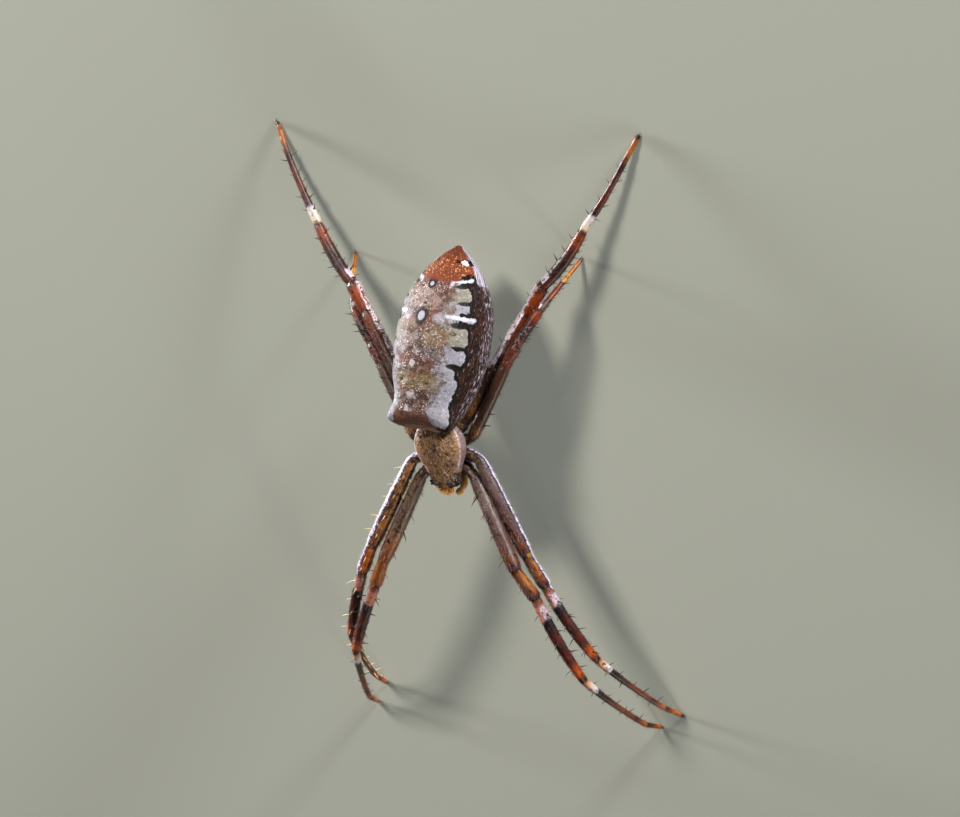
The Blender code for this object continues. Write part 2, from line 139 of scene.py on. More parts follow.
def in_abdomen(points):
    """Points of the sac's own frame, in the spider's frame before it is centred."""
    return in_prosoma(ABDOMEN_FRONT) + np.asarray(points, float) @ ABDOMEN_AXES.T


def abdomen_surface(share, angle, inset=0.0):
    """Points of the sac: share along its axis, angle in radians up from its left side."""
    half = smooth_read(ABDOMEN_WIDTHS, share) * ABDOMEN_WIDTH / 2 - inset
    back = smooth_read(ABDOMEN_BACKS, share) * ABDOMEN_TOP - inset
    belly = smooth_read(ABDOMEN_BELLIES, share) * ABDOMEN_BOTTOM - inset
    square = 2.0 / (2.25 + 0.9 * np.maximum(0.0, 1.0 - share / 0.35))
    x = half * power(np.cos(angle), square)
    z = np.where(np.sin(angle) > 0, back, belly) * power(np.sin(angle), square)
    from_hump = np.degrees(np.arcsin(np.sin(angle))) - SHOULDER_ANGLE
    hump = SHOULDER_RISE * np.exp(-(((share - SHOULDER_PLACE) / SHOULDER_REACH) ** 2)
                                  - (from_hump / SHOULDER_SPREAD) ** 2)
    y = share * ABDOMEN_LENGTH - hump * 0.5 + 0 * x
    return np.stack([x + np.copysign(hump, x) * 0.8, y, z + hump * 0.5], -1)


def rounded_box(along, across, place, half_along, inner, outer, corner):
    """Depth inside a rounded patch, positive within: it spans inner to outer across and is centred along."""
    half_across = (outer - inner) / 2
    dx = np.abs(along - place) - half_along + corner
    dy = np.abs(across - (inner + outer) / 2) - half_across + corner
    return corner - np.hypot(np.maximum(dx, 0), np.maximum(dy, 0)) - np.minimum(np.maximum(dx, dy), 0)


def put_in_scene(name, data):
    """An object of that name with that mesh, lamp or camera, in the scene."""
    thing = bpy.data.objects.new(name, data)
    bpy.context.collection.objects.link(thing)
    return thing


def store(mesh, label, values):
    """Keeps a number or a direction at each point of a mesh, for materials and node trees to read."""
    vector = values.ndim == 2 and values.shape[1] == 3
    layer = mesh.attributes.new(label, "FLOAT_VECTOR" if vector else "FLOAT", "POINT")
    layer.data.foreach_set("vector" if vector else "value", values.ravel())


def closed_skin(name, rings, fields):
    """A closed skin through rings of points (rings x around x 3, mm), with the fields kept at its points."""
    count, around = rings.shape[:2]
    points = np.concatenate([rings.reshape(-1, 3), rings[[0, -1]].mean(1)]) * MM
    row, column = np.meshgrid(np.arange(count - 1), np.arange(around), indexing="ij")
    first, second = row * around + column, row * around + (column + 1) % around
    quads = np.stack([first, second, second + around, first + around], -1).reshape(-1, 4).tolist()
    for pole, ring in ((count * around, 0), (count * around + 1, count - 1)):
        base = ring * around
        quads += [[pole, base + i, base + (i + 1) % around] for i in range(around)]
    mesh = bpy.data.meshes.new(name)
    mesh.from_pydata(points.tolist(), [], quads)
    for label, values in fields.items():
        wanted = rings.shape if np.ndim(values) == 3 else rings.shape[:2]
        values = np.broadcast_to(np.asarray(values, float), wanted)
        poles = values[[0, -1]].mean(1).reshape(2, -1)
        store(mesh, label, np.concatenate([values.reshape(count * around, -1), poles]))
    body = bmesh.new()
    body.from_mesh(mesh)
    bmesh.ops.recalc_face_normals(body, faces=body.faces)
    body.to_mesh(mesh)
    body.free()
    mesh.shade_smooth()
    return put_in_scene(name, mesh)


def outward_of(rings):
    """Unit directions out of a closed grid of rings."""
    along = np.gradient(rings, axis=0)
    around = np.roll(rings, -1, 1) - np.roll(rings, 1, 1)
    out = np.cross(around, along)
    out /= np.linalg.norm(out, axis=2, keepdims=True) + 1e-12
    middle = rings.mean(1, keepdims=True)
    return out * np.sign((out * (rings - middle)).sum(2).mean())


def lobed_band(place, off, size):
    """The white band at mm along, degrees off the middle line and mm a degree: depth, cream and white."""
    strip = rounded_box(place, off * size, BAND_MIDDLE * ABDOMEN_LENGTH, BAND_HALF * ABDOMEN_LENGTH,
                        BAND_INNER * size, BAND_OUTER * size, 0.2)
    band, cream, bar = [strip], 0 * off, 0 * off
    for centre, half, inner, outer, white, creamy in LOBES:
        half_length = half * ABDOMEN_LENGTH
        lobe = rounded_box(place, off * size, centre * ABDOMEN_LENGTH, half_length, inner * size,
                           outer * size, min(half_length * 0.9, 0.42))
        band.append(lobe)
        inside = 1 / (1 + np.exp(-lobe / 0.05))
        cream = np.maximum(cream, inside * creamy)
        bar = np.maximum(bar, inside * white)
    return np.max(band, axis=0), cream, bar


def oval_marks(table, place, from_middle):
    """Depth inside the nearest oval of a table, in mm, positive within."""
    return np.max([
        min(half * ABDOMEN_LENGTH, wide * 0.045)
        * (1 - np.hypot((place / ABDOMEN_LENGTH - centre) / half, (from_middle - side) / wide))
        for centre, half, side, wide in table
    ], axis=0)


def capped(raw):
    """The sac's rings with smaller rings that close its front and rear."""
    first, last = raw[0], raw[-1]
    front = first.mean(0) + (first - first.mean(0)) * ABDOMEN_CAPS[:, None, None]
    front[..., 1] -= FRONT_CAP * np.sqrt(1 - ABDOMEN_CAPS**2)[:, None]
    rear = last.mean(0) + (last - last.mean(0)) * ABDOMEN_CAPS[::-1, None, None]
    rear[..., 1] += REAR_CAP * np.sqrt(1 - ABDOMEN_CAPS[::-1] ** 2)[:, None]
    return np.concatenate([front, raw, rear])


def ends_repeated(values, before, after):
    """An array with its first row repeated before it and its last row after it."""
    return np.concatenate([np.repeat(values[:1], before, 0), values, np.repeat(values[-1:], after, 0)])


def make_abdomen():
    """The sac's rings, swollen under the white band and dimpled at the pits, and its markings' fields."""
    share = np.linspace(0, 1, ABDOMEN_RINGS)[:, None]
    angle = round_angles(ABDOMEN_AROUND)[None, :]
    raw = abdomen_surface(share, angle, ABDOMEN_INSET)
    from_middle = (np.degrees(angle) - MIDLINE + 180) % 360 - 180 + 0 * share
    tilt = BAR_SLANT * np.maximum(share - SLANT_START, 0) * (np.abs(from_middle) - 30)
    place = (share - tilt) * ABDOMEN_LENGTH
    size = smooth_read(ABDOMEN_WIDTHS, share) * 3.0 + smooth_read(ABDOMEN_BACKS, share) * 2.3
    size = np.radians(1.0) * size / 2  # mm a degree round the back, about
    off = np.abs(from_middle)
    band, cream, bar = lobed_band(place, off, size)
    pits = np.zeros_like(off)
    for centre, side in PITS:
        far = np.hypot((share - centre) * ABDOMEN_LENGTH, (off - side) * size)
        pits += np.exp(-((far / PIT_RADIUS) ** 2))
    bites = np.max([0.16 - np.hypot((place - centre * ABDOMEN_LENGTH) * 0.16 / (half * ABDOMEN_LENGTH),
                                    (off - side) * size * 0.42)
                    for centre, side, half in NOTCHES], axis=0)
    radial = raw * np.array([1, 0, 1])
    radial /= np.linalg.norm(radial, axis=2, keepdims=True) + 1e-9
    swell = BAND_SWELL * np.clip(band / 0.3, -0.4, 1) * (share < 0.86) - PIT_DEPTH * pits
    folds = FOLD_HEIGHT * np.sin(share * 46 + np.radians(from_middle) * 2) * np.exp(-(((off - 20) / 40) ** 2))
    rings = in_abdomen(capped(raw + radial * (swell + folds)[..., None]))
    fields = {
        "reach": share + 0 * off, "across": from_middle, "off": off, "band": band, "cream": cream,
        "bar": bar, "pits": pits, "bites": bites, "ovals": oval_marks(OVALS, place, from_middle),
        "smudges": oval_marks(SMUDGES, place, from_middle), "turn_cos": np.cos(angle) + 0 * share,
        "turn_sin": np.sin(angle) + 0 * share,
    }
    caps = len(ABDOMEN_CAPS)
    fields = {label: ends_repeated(values, caps, caps) for label, values in fields.items()}
    fields["away"] = outward_of(rings)
    fields["lie"] = (in_abdomen([0, 1, 0]) - in_abdomen([0, 0, 0])) + fields["away"] * 0.35
    return rings, fields


abdomen_rings, abdomen_fields = make_abdomen()
low, high = (np.array(corner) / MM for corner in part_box("abdomen"))
flat = abdomen_surface(np.linspace(0, 1, 120)[:, None], np.linspace(0, 2 * math.pi, 240)[None, :])
flat = in_abdomen(flat).reshape(-1, 3)
ROOT = ((low + high) - (flat.min(0) + flat.max(0))) / 2  # where the spider's own origin stands on the floor
ROOT[2] = 0.0
abdomen_skin = closed_skin("abdomen_skin", abdomen_rings + ROOT, abdomen_fields)


def linear(colour):
    """An sRGB hex colour as linear red, green, blue and alpha."""
    parts = [int(colour[i : i + 2], 16) / 255 for i in (1, 3, 5)]
    return [p / 12.92 if p <= 0.04045 else ((p + 0.055) / 1.055) ** 2.4 for p in parts] + [1.0]


def add(tree, kind, *inputs, **settings):
    """Adds a node with its settings; its inputs are values or nodes, in order or in one dict by name."""
    made = tree.nodes.new(kind)
    for label, value in settings.items():
        setattr(made, label, value)
    named = inputs[0] if inputs and isinstance(inputs[0], dict) else dict(enumerate(inputs))
    for label, value in named.items():
        if isinstance(value, bpy.types.Node):
            value = value.outputs[0]
        if isinstance(value, bpy.types.NodeSocket):
            tree.links.new(value, made.inputs[label])
        else:
            made.inputs[label].default_value = value
    return made


def new_material(name, **values):
    """A Principled material; values are set on the shader's own sockets."""
    material = bpy.data.materials.new(name)
    material.use_nodes = True
    shader = material.node_tree.nodes["Principled BSDF"]
    for label, value in values.items():
        shader.inputs[label.replace("_", " ")].default_value = value
    return material, material.node_tree, shader


def surface(shader, tone, height=None, strength=0.0, depth=0.0):
    """Gives a shader its colour and, where it has a relief, its height, strength and depth in mm."""
    tree = shader.id_data
    tree.links.new(tone, shader.inputs["Base Color"])
    if height is not None:
        relief = add(tree, "ShaderNodeBump", {"Height": height, "Strength": strength, "Distance": depth * MM})
        tree.links.new(relief.outputs[0], shader.inputs["Normal"])


def fit(piece, material, slot, *nodes):
    """Gives a piece its material, lets it ride with the body, and hides the solids it stands for."""
    piece.data.materials.append(material)
    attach(piece, "root")
    if nodes:
        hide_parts(*nodes)


def field(tree, label):
    """A number kept at the skin's points."""
    return add(tree, "ShaderNodeAttribute", attribute_name=label).outputs["Fac"]


def painted(below, colour, mask, low=0.0, high=1.0, most=1.0):
    """Lays a colour over another where the mask goes from low to high."""
    tree = mask.id_data
    amount = add(tree, "ShaderNodeMapRange", {"Value": mask, "From Min": low, "From Max": high,
                                             "To Max": most}, interpolation_type="SMOOTHSTEP")
    below, colour = (linear(tone) if isinstance(tone, str) else tone for tone in (below, colour))
    return add(tree, "ShaderNodeMix", {0: amount, 6: below, 7: colour}, data_type="RGBA").outputs[2]


def layered(paint, *layers):
    """Lays colours one over another: each a colour and its mask, and the mask's low, high and strength."""
    for layer in layers:
        paint = painted(paint, *layer)
    return paint


def ragged(mask, noise, amount):
    """A mask with its edge broken by a noise that is 0.5 on average."""
    shifted = add(mask.id_data, "ShaderNodeMath", noise, -0.5, operation="ADD")
    return add(mask.id_data, "ShaderNodeMath", shifted, amount, mask, operation="MULTIPLY_ADD").outputs[0]


def mottling(tree, per_mm, detail=4.0, roughness=0.6, coordinates=None, seed=0.0):
    """Noise with so many patches a millimetre, on the object's own coordinates or others."""
    if coordinates is None:
        coordinates = add(tree, "ShaderNodeTexCoord").outputs["Object"]
        per_mm = per_mm / MM
    inputs = {"Vector": coordinates, "W": seed, "Scale": per_mm, "Detail": detail, "Roughness": roughness}
    return add(tree, "ShaderNodeTexNoise", inputs, noise_dimensions="4D").outputs["Fac"]


def times(product, *factors):
    """The product of masks."""
    for factor in factors:
        product = add(product.id_data, "ShaderNodeMath", product, factor, operation="MULTIPLY").outputs[0]
    return product


def sloped(value, factor, more):
    """A mask times a number, plus another mask or number."""
    return add(value.id_data, "ShaderNodeMath", value, factor, more, operation="MULTIPLY_ADD").outputs[0]


def window(value, low, high, soft):
    """1 where a value lies between two bounds, falling off softly outside them."""
    sides = [add(value.id_data, "ShaderNodeMapRange", {"Value": value, "From Min": start, "From Max": end},
                 interpolation_type="SMOOTHSTEP").outputs[0]
             for start, end in ((low - soft, low), (high + soft, high))]
    return times(*sides)


def blotch(reach, across, place, side, half, wide, soft=0.35):
    """1 in an oval patch round a place along the sac and a side in degrees from its middle line."""
    tree = reach.id_data
    spot = add(tree, "ShaderNodeCombineXYZ", sloped(across, 1 / wide, -side / wide),
               sloped(reach, 1 / half, -place / half))
    far = add(tree, "ShaderNodeVectorMath", spot, operation="LENGTH").outputs["Value"]
    return add(tree, "ShaderNodeMapRange", {"Value": far, "From Min": 1 + soft, "From Max": 1 - soft},
               interpolation_type="SMOOTHSTEP").outputs[0]


# Soft patches on the back, each over those before it: place, side in degrees from the middle line, half
# length, half width in degrees, colour and strength.
PATCHES = (
    (0.20, 18, 0.016, 26, "#6E3E24", 0.80),
    (0.25, 0, 0.045, 34, "#75653F", 0.65),
    (0.305, 26, 0.014, 20, "#33201E", 0.75),
    (0.41, -12, 0.012, 16, "#3A231E", 0.70),
    (0.52, 2, 0.012, 24, "#38241F", 0.70),
    (0.275, -4, 0.018, 9, "#74443A", 0.60),
    (0.365, 12, 0.040, 17, "#6E3B2A", 0.75),
    (0.36, -16, 0.025, 9, "#5A3026", 0.60),
    (0.45, 20, 0.055, 16, "#7C6C6C", 0.65),
    (0.49, -22, 0.060, 14, "#7E6C50", 0.55),
    (0.56, -11, 0.050, 5, "#5E3226", 0.80),
    (0.64, -16, 0.065, 6, "#5E3428", 0.80),
    (0.79, -18, 0.035, 7, "#4E261C", 0.85),
    (0.56, 20, 0.040, 14, "#7A5A4A", 0.60),
    (0.71, 7, 0.065, 19, "#8E7A74", 0.70),
)


def back_colours(tree, reach, rear, coarse, middle, fine):
    """The mottled back with its soft patches and painted glints, the rosy front, the rust tail and the pale
    smudges.
    """
    moved = ragged(ragged(reach, middle, 0.09), fine, 0.03)
    swayed = ragged(ragged(field(tree, "across"), mottling(tree, 1.6, seed=31.0), 60.0), fine, 16.0)
    # Painted glints: small pale specks that stand in for light glancing off the grain.
    painted_glints = times(mottling(tree, 11.0, 2.0, seed=41.0), window(coarse, 0.49, 2.0, 0.06))
    front = ragged(reach, middle, 0.03)
    tail = window(rear, 0.84, 2.0, 0.04)
    flecks = times(ragged(mottling(tree, 7.0, seed=11.0), fine, 0.2), tail)
    smudge = ragged(ragged(field(tree, "smudges"), mottling(tree, 3.0, seed=37.0), 1.1), fine, 0.4)
    return layered(
        "#452E24",
        ("#6C5246", middle, 0.42, 0.60),
        ("#3C241D", coarse, 0.52, 0.62, 0.8),
        *[(colour, blotch(moved, swayed, place, side, half, wide), 0.0, 1.0, most)
          for place, side, half, wide, colour, most in PATCHES],
        ("#38201A", mottling(tree, 4.0, seed=5.0), 0.54, 0.64, 0.8),
        ("#8E8484", mottling(tree, 5.5, seed=17.0), 0.54, 0.66, 0.8),
        # The painted glints.
        ("#E6E1E8", painted_glints, 0.58, 0.65, 0.75),
        ("#5E3A30", front, 0.085, 0.055, 0.8),
        ("#8C6A60", front, 0.012, 0.0, 0.8),
        ("#6A2F12", rear, 0.775, 0.825),
        ("#D0A07C", flecks, 0.56, 0.63, 0.85),
        ("#3A170A", times(mottling(tree, 5.0, seed=13.0), tail), 0.56, 0.64, 0.8),
        ("#4A1D0C", ragged(reach, coarse, 0.12), 0.88, 0.99, 0.85),
        ("#2E1B17", smudge, -0.22, -0.06, 0.55),
        ("#AFA6A6", smudge, -0.02, 0.20, 0.8),
    )


def abdomen_colours(tree):
    """The sac's markings as one colour, laid down from the ground colour up."""
    reach, off, bar = (field(tree, label) for label in ("reach", "off", "bar"))
    coarse, middle, fine = mottling(tree, 0.9), mottling(tree, 2.6, seed=3.0), mottling(tree, 9.0, seed=7.0)
    rear = ragged(reach, middle, 0.10)
    paint = back_colours(tree, reach, rear, coarse, middle, fine)
    # The flanks below the band: dark brown, streaked along, paler and mauve lower down, darker on the belly.
    slant = times(sloped(reach, -55.0, off), 0.45)
    streaks = add(tree, "ShaderNodeCombineXYZ", times(reach, 9.0), slant, field(tree, "turn_cos"))
    streaks = mottling(tree, 1.0, 3.0, 0.6, streaks.outputs[0])
    beads = add(tree, "ShaderNodeCombineXYZ", times(reach, 30.0), times(off, 0.5)).outputs[0]
    beads = mottling(tree, 1.0, 2.0, 0.5, beads, seed=4.0)
    low_flank = layered("#0E0708", ("#4E3838", streaks, 0.45, 0.60), ("#B7ABB8", beads, 0.54, 0.62, 0.9),
                        ("#1C100D", mottling(tree, 3.0, seed=14.0), 0.58, 0.66, 0.8))
    belly = layered("#2A1813", ("#45302A", middle, 0.4, 0.6),
                    ("#CFC08A", window(off, 140.0, 152.0, 2.0), 0.3, 0.8))
    lower = ragged(off, coarse, 30.0)
    flank = layered("#0A0403", ("#40200E", streaks, 0.46, 0.62), ("#9A8A94", beads, 0.62, 0.69, 0.75),
                    (low_flank, lower, 82.0, 100.0), (belly, lower, 118.0, 128.0))
    below = ragged(off, middle, 10.0)
    behind = window(rear, 0.83, 2.0, 0.04)
    tail_flank = painted("#B4ACBC", "#2A1A1C", streaks, 0.46, 0.56, 0.95)
    # The white band: a thin black border, then the lobes, crisp outside and broken into flecks inside.
    edge = ragged(ragged(field(tree, "band"), mottling(tree, 1.9, 2.0, seed=33.0), 0.55), fine, 0.16)
    border = times(window(edge, -0.15, 0.5, 0.09), window(off, 46.0, 400.0, 10.0))
    cream = field(tree, "cream")
    lobes = layered(
        "#87868F",
        ("#5C555D", middle, 0.50, 0.66),
        ("#7C786A", cream, 0.2, 0.8),
        ("#6E6150", times(mottling(tree, 4.0, seed=19.0), cream), 0.42, 0.58, 0.8),
        ("#5E525E", mottling(tree, 5.0, seed=9.0), 0.56, 0.66, 0.8),
        ("#A3A2AE", mottling(tree, 5.0, seed=23.0), 0.54, 0.64, 0.8),
        ("#BDBCCB", ragged(bar, middle, 1.2), 0.45, 0.9),
    )
    whole = add(tree, "ShaderNodeMapRange", {"Value": reach, "From Min": 0.20, "From Max": 0.08,
                                            "To Max": 22.0})
    whole = add(tree, "ShaderNodeMath", whole, off, operation="ADD").outputs[0]
    torn = window(ragged(ragged(whole, mottling(tree, 2.2, seed=29.0), 70.0), fine, 26.0), 40.0, 400.0, 13.0)
    kept = add(tree, "ShaderNodeMath", torn, bar, operation="MAXIMUM").outputs[0]
    # A small white mark with black ends beside the tail.
    mark = times(window(ragged(ragged(reach, fine, 0.01), middle, 0.05), 0.916, 0.932, 0.007),
                 window(off, 30.0, 88.0, 3.0))
    white = times(mark, window(ragged(off, middle, 30.0), 48.0, 66.0, 4.0))
    ovals = ragged(field(tree, "ovals"), fine, 0.06)
    return layered(
        paint,
        (flank, sloped(behind, -26.0, below), 50.0, 54.0),
        (tail_flank, times(behind, window(below, 84.0, 200.0, 12.0)), 0.0, 1.0),
        ("#050202", border, 0.15, 0.8),
        (lobes, times(window(edge, 0.03, 9.0, 0.06), kept), 0.0, 1.0),
        ("#0A0505", ragged(field(tree, "bites"), fine, 0.12), -0.09, -0.02, 0.95),
        ("#0D0706", mark, 0.3, 0.7),
        ("#D2D0DC", white, 0.5, 0.8),
        ("#1C0F10", ovals, -0.22, -0.08, 0.95),
        ("#93939F", ovals, 0.02, 0.07),
        ("#150B09", field(tree, "pits"), 0.35, 0.9, 0.9),
    )


# Leathery cuticle over pigment: a granular surface that throws small glints, duller on the flanks.
cuticle, tree, shader = new_material("abdomen_cuticle", Specular_IOR_Level=0.17)
grain, creases = mottling(tree, 8.0, 3.0, 0.65, seed=1.0), mottling(tree, 2.2, 3.0, 0.6, seed=2.0)
surface(shader, abdomen_colours(tree), sloped(creases, 1.6, grain), 0.8, 0.07)
gloss = add(tree, "ShaderNodeMapRange", {"Value": grain, "From Min": 0.35, "From Max": 0.65, "To Min": 0.50,
                                        "To Max": 0.20})
dull = add(tree, "ShaderNodeMapRange", {"Value": field(tree, "off"), "From Min": 36.0, "From Max": 52.0,
                                       "To Min": 0.0, "To Max": 0.42})
rough = add(tree, "ShaderNodeMath", gloss, dull, operation="ADD")
tree.links.new(rough.outputs[0], shader.inputs["Roughness"])
fit(abdomen_skin, cuticle, "abdomen", "abdomen")


# ==================================================================== spinnerets
# Six small cones of dark cuticle under the tail that give out silk: a front pair, a rear pair and two
# between, with the anal tubercle behind. Each is cast with the sac.

SPINNERET_PLACE, SPINNERET_LENGTH = 0.80, 0.75
# Across and along from the middle of the cluster, base radius, length, and lean sideways.
CONES = ((0.24, -0.26, 0.20, 0.85, 0.10), (0.09, 0.02, 0.12, 0.62, 0.02), (0.23, 0.24, 0.19, 0.90, 0.12))
CONE_SHAPE = ((0, 1.0), (0.45, 0.92), (0.55, 0.80), (0.85, 0.60), (1.0, 0.30))
CAP_RISES = (0.5, 1.0, 1.4)  # radians over a tube's end at which its cap has a ring


def lofted_tube(path, radii, around, dorsal=(0, 0, 1)):
    """Rings of points round a path, with rounded ends (rings x around x 3), and the heading at each point."""
    path, radii = np.asarray(path, float), np.asarray(radii, float)
    ahead = np.gradient(path, axis=0)
    ahead /= np.linalg.norm(ahead, axis=1, keepdims=True)
    up = np.asarray(dorsal, float) - ahead * (ahead @ np.asarray(dorsal, float))[:, None]
    up /= np.linalg.norm(up, axis=1, keepdims=True)
    side = np.cross(ahead, up)
    angle = round_angles(around)[None, :, None]
    spokes = up[:, None] * np.cos(angle) + side[:, None] * np.sin(angle)
    rings = path[:, None] + spokes * radii[:, None, None]
    caps = []
    for end, sign in ((0, -1), (-1, 1)):
        cap = [path[end] + ahead[end] * sign * radii[end] * 0.8 * math.sin(rise)
               + spokes[end] * radii[end] * math.cos(rise) for rise in CAP_RISES]
        caps.append(np.array(cap[::sign]))
    return np.concatenate([caps[0], rings, caps[1]]), ahead


def over_caps(values):
    """A tube's values, one for each point of its path, repeated over its caps."""
    return ends_repeated(values, len(CAP_RISES), len(CAP_RISES))


def joined(name, pieces):
    """Joins objects into one mesh object of that name."""
    body = bmesh.new()
    for piece in pieces:
        body.from_mesh(piece.data)
        bpy.data.objects.remove(piece)
    mesh = bpy.data.meshes.new(name)
    body.to_mesh(mesh)
    body.free()
    mesh.shade_smooth()
    return put_in_scene(name, mesh)


def spinneret(name, path, radii, around):
    """One tapered cone in the sac's frame, with its share from root to tip."""
    rings, _ = lofted_tube(in_abdomen(path) + ROOT, radii, around, (1, 0, 0.2))
    return closed_skin(name, rings, {"reach": np.linspace(0, 1, len(rings))[:, None]})


def make_spinnerets():
    """The cluster under the tail: six cones that lean back, and the tubercle behind them."""
    below = np.array([-math.pi / 2])
    root = abdomen_surface(np.array([SPINNERET_PLACE]), below)[0]
    ahead = abdomen_surface(np.array([SPINNERET_PLACE - 0.02]), below)[0]
    rearward = (root - ahead) / np.linalg.norm(root - ahead)
    down = -np.cross([1, 0, 0], rearward)
    lean = (down + rearward * 0.55) / np.linalg.norm(down + rearward * 0.55)
    cones, steps = [], np.linspace(0, 1, 9)
    for across, along, radius, length, splay in CONES:
        for side in (-1, 1):
            base = root + np.array([across * side, 0, 0]) + rearward * along - down * 0.12
            path = base + steps[:, None] * (lean * length * SPINNERET_LENGTH - np.array([splay * side, 0, 0]))
            cones.append(spinneret("cone", path, radius * smooth_read(CONE_SHAPE, steps), 14))
    steps = np.linspace(0, 1, 7)
    path = root + rearward * (0.50 + 0.2 * steps[:, None]) - down * 0.1 + down * 0.30 * steps[:, None]
    cones.append(spinneret("tubercle", path, 0.15 * (1 - 0.6 * steps**2), 12))
    return joined("spinnerets_skin", cones)


# Thin brown cuticle, paler to the tips and dull.
silk_glands, tree, shader = new_material("spinneret_cuticle", Roughness=0.5)
tone = layered("#3A2118", ("#7A5138", field(tree, "reach"), 0.35, 0.9),
               ("#1D0F0B", mottling(tree, 6.0), 0.5, 0.7, 0.7))
surface(shader, tone, mottling(tree, 14.0), 0.5, 0.03)
fit(make_spinnerets(), silk_glands, "spinneret", "spinnerets")


# ==================================================================== carapace
# The hard shield over the front body: tan cuticle, domed, higher behind the narrow head, with a pit on top
# from which grooves run out to the legs, and a pale rim.

CARAPACE_LENGTH, CARAPACE_WIDTH, CARAPACE_HEIGHT = 4.3, 3.4, 1.10
CARAPACE_FRONT, CARAPACE_RIM = -2.4, -0.05
CARAPACE_WIDTHS = ((0.0, 0.46), (0.06, 0.60), (0.20, 0.66), (0.33, 0.77), (0.48, 0.93), (0.62, 1.0),
                   (0.78, 0.94), (0.90, 0.72), (1.0, 0.36))
CARAPACE_HEIGHTS = ((0.0, 0.20), (0.06, 0.29), (0.12, 0.40), (0.20, 0.50), (0.33, 0.68), (0.48, 0.87),
                    (0.64, 1.0), (0.78, 0.90), (0.90, 0.54), (1.0, 0.10))
# Each eye of a pair: share of the shield's length, degrees up from its rim, radius.
EYES = {
    "eye_rear_median": (0.060, 76.0, 0.15),
    "eye_front_median": (0.006, 66.0, 0.11),
    "eye_rear_lateral": (0.107, 44.0, 0.12),
    "eye_front_lateral": (0.050, 29.0, 0.10),
}
PIT = np.array([0.0, 0.50])  # the pit on top, x and y in the prosoma's frame
GROOVES = ((0.62, -1.35, 1.0), (1.25, -0.35, 0.6), (1.45, 0.55, 0.6), (1.05, 1.30, 0.6))  # ends and depths
GROOVE_WIDTH, GROOVE_DEPTH, PIT_SINK, EYE_MOUND, RIM_RISE = 0.13, 0.06, 0.09, 0.07, 0.025
SHELL_INSET = 0.03
SHIELD_RINGS, SHIELD_OVER, SHIELD_UNDER = 130, 90, 20
FACE_CAPS = np.array([0.15, 0.45, 0.7, 0.88, 0.97])  # rings that close the face, as shares of its first one


def carapace_surface(share, angle, inset=0.0):
    """Points of the shield: share from face to rear, angle in radians up from its left rim to its right."""
    half = smooth_read(CARAPACE_WIDTHS, share) * CARAPACE_WIDTH / 2 - inset
    height = smooth_read(CARAPACE_HEIGHTS, share) * CARAPACE_HEIGHT - inset
    x = half * power(np.cos(angle), 0.8)
    z = CARAPACE_RIM + height * power(np.sin(angle), 0.8)
    return np.stack([x, CARAPACE_FRONT + share * CARAPACE_LENGTH + 0 * x, z], -1)


def groove_depths(x, y):
    """How deep the grooves that run out from the pit are, from 0 to 1."""
    groove = 0.0 * x
    for end_x, end_y, depth in GROOVES:
        for side in (-1, 1):
            run = np.array([end_x * side, end_y]) - PIT
            t = np.clip(((x - PIT[0]) * run[0] + (y - PIT[1]) * run[1]) / (run @ run), 0, 1)
            far = np.hypot(x - PIT[0] - t * run[0], y - PIT[1] - t * run[1])
            cut = depth * np.exp(-((far / GROOVE_WIDTH) ** 2)) * (1 - 0.5 * t) * (t < 1.0)
            groove = np.maximum(groove, cut)
    return groove


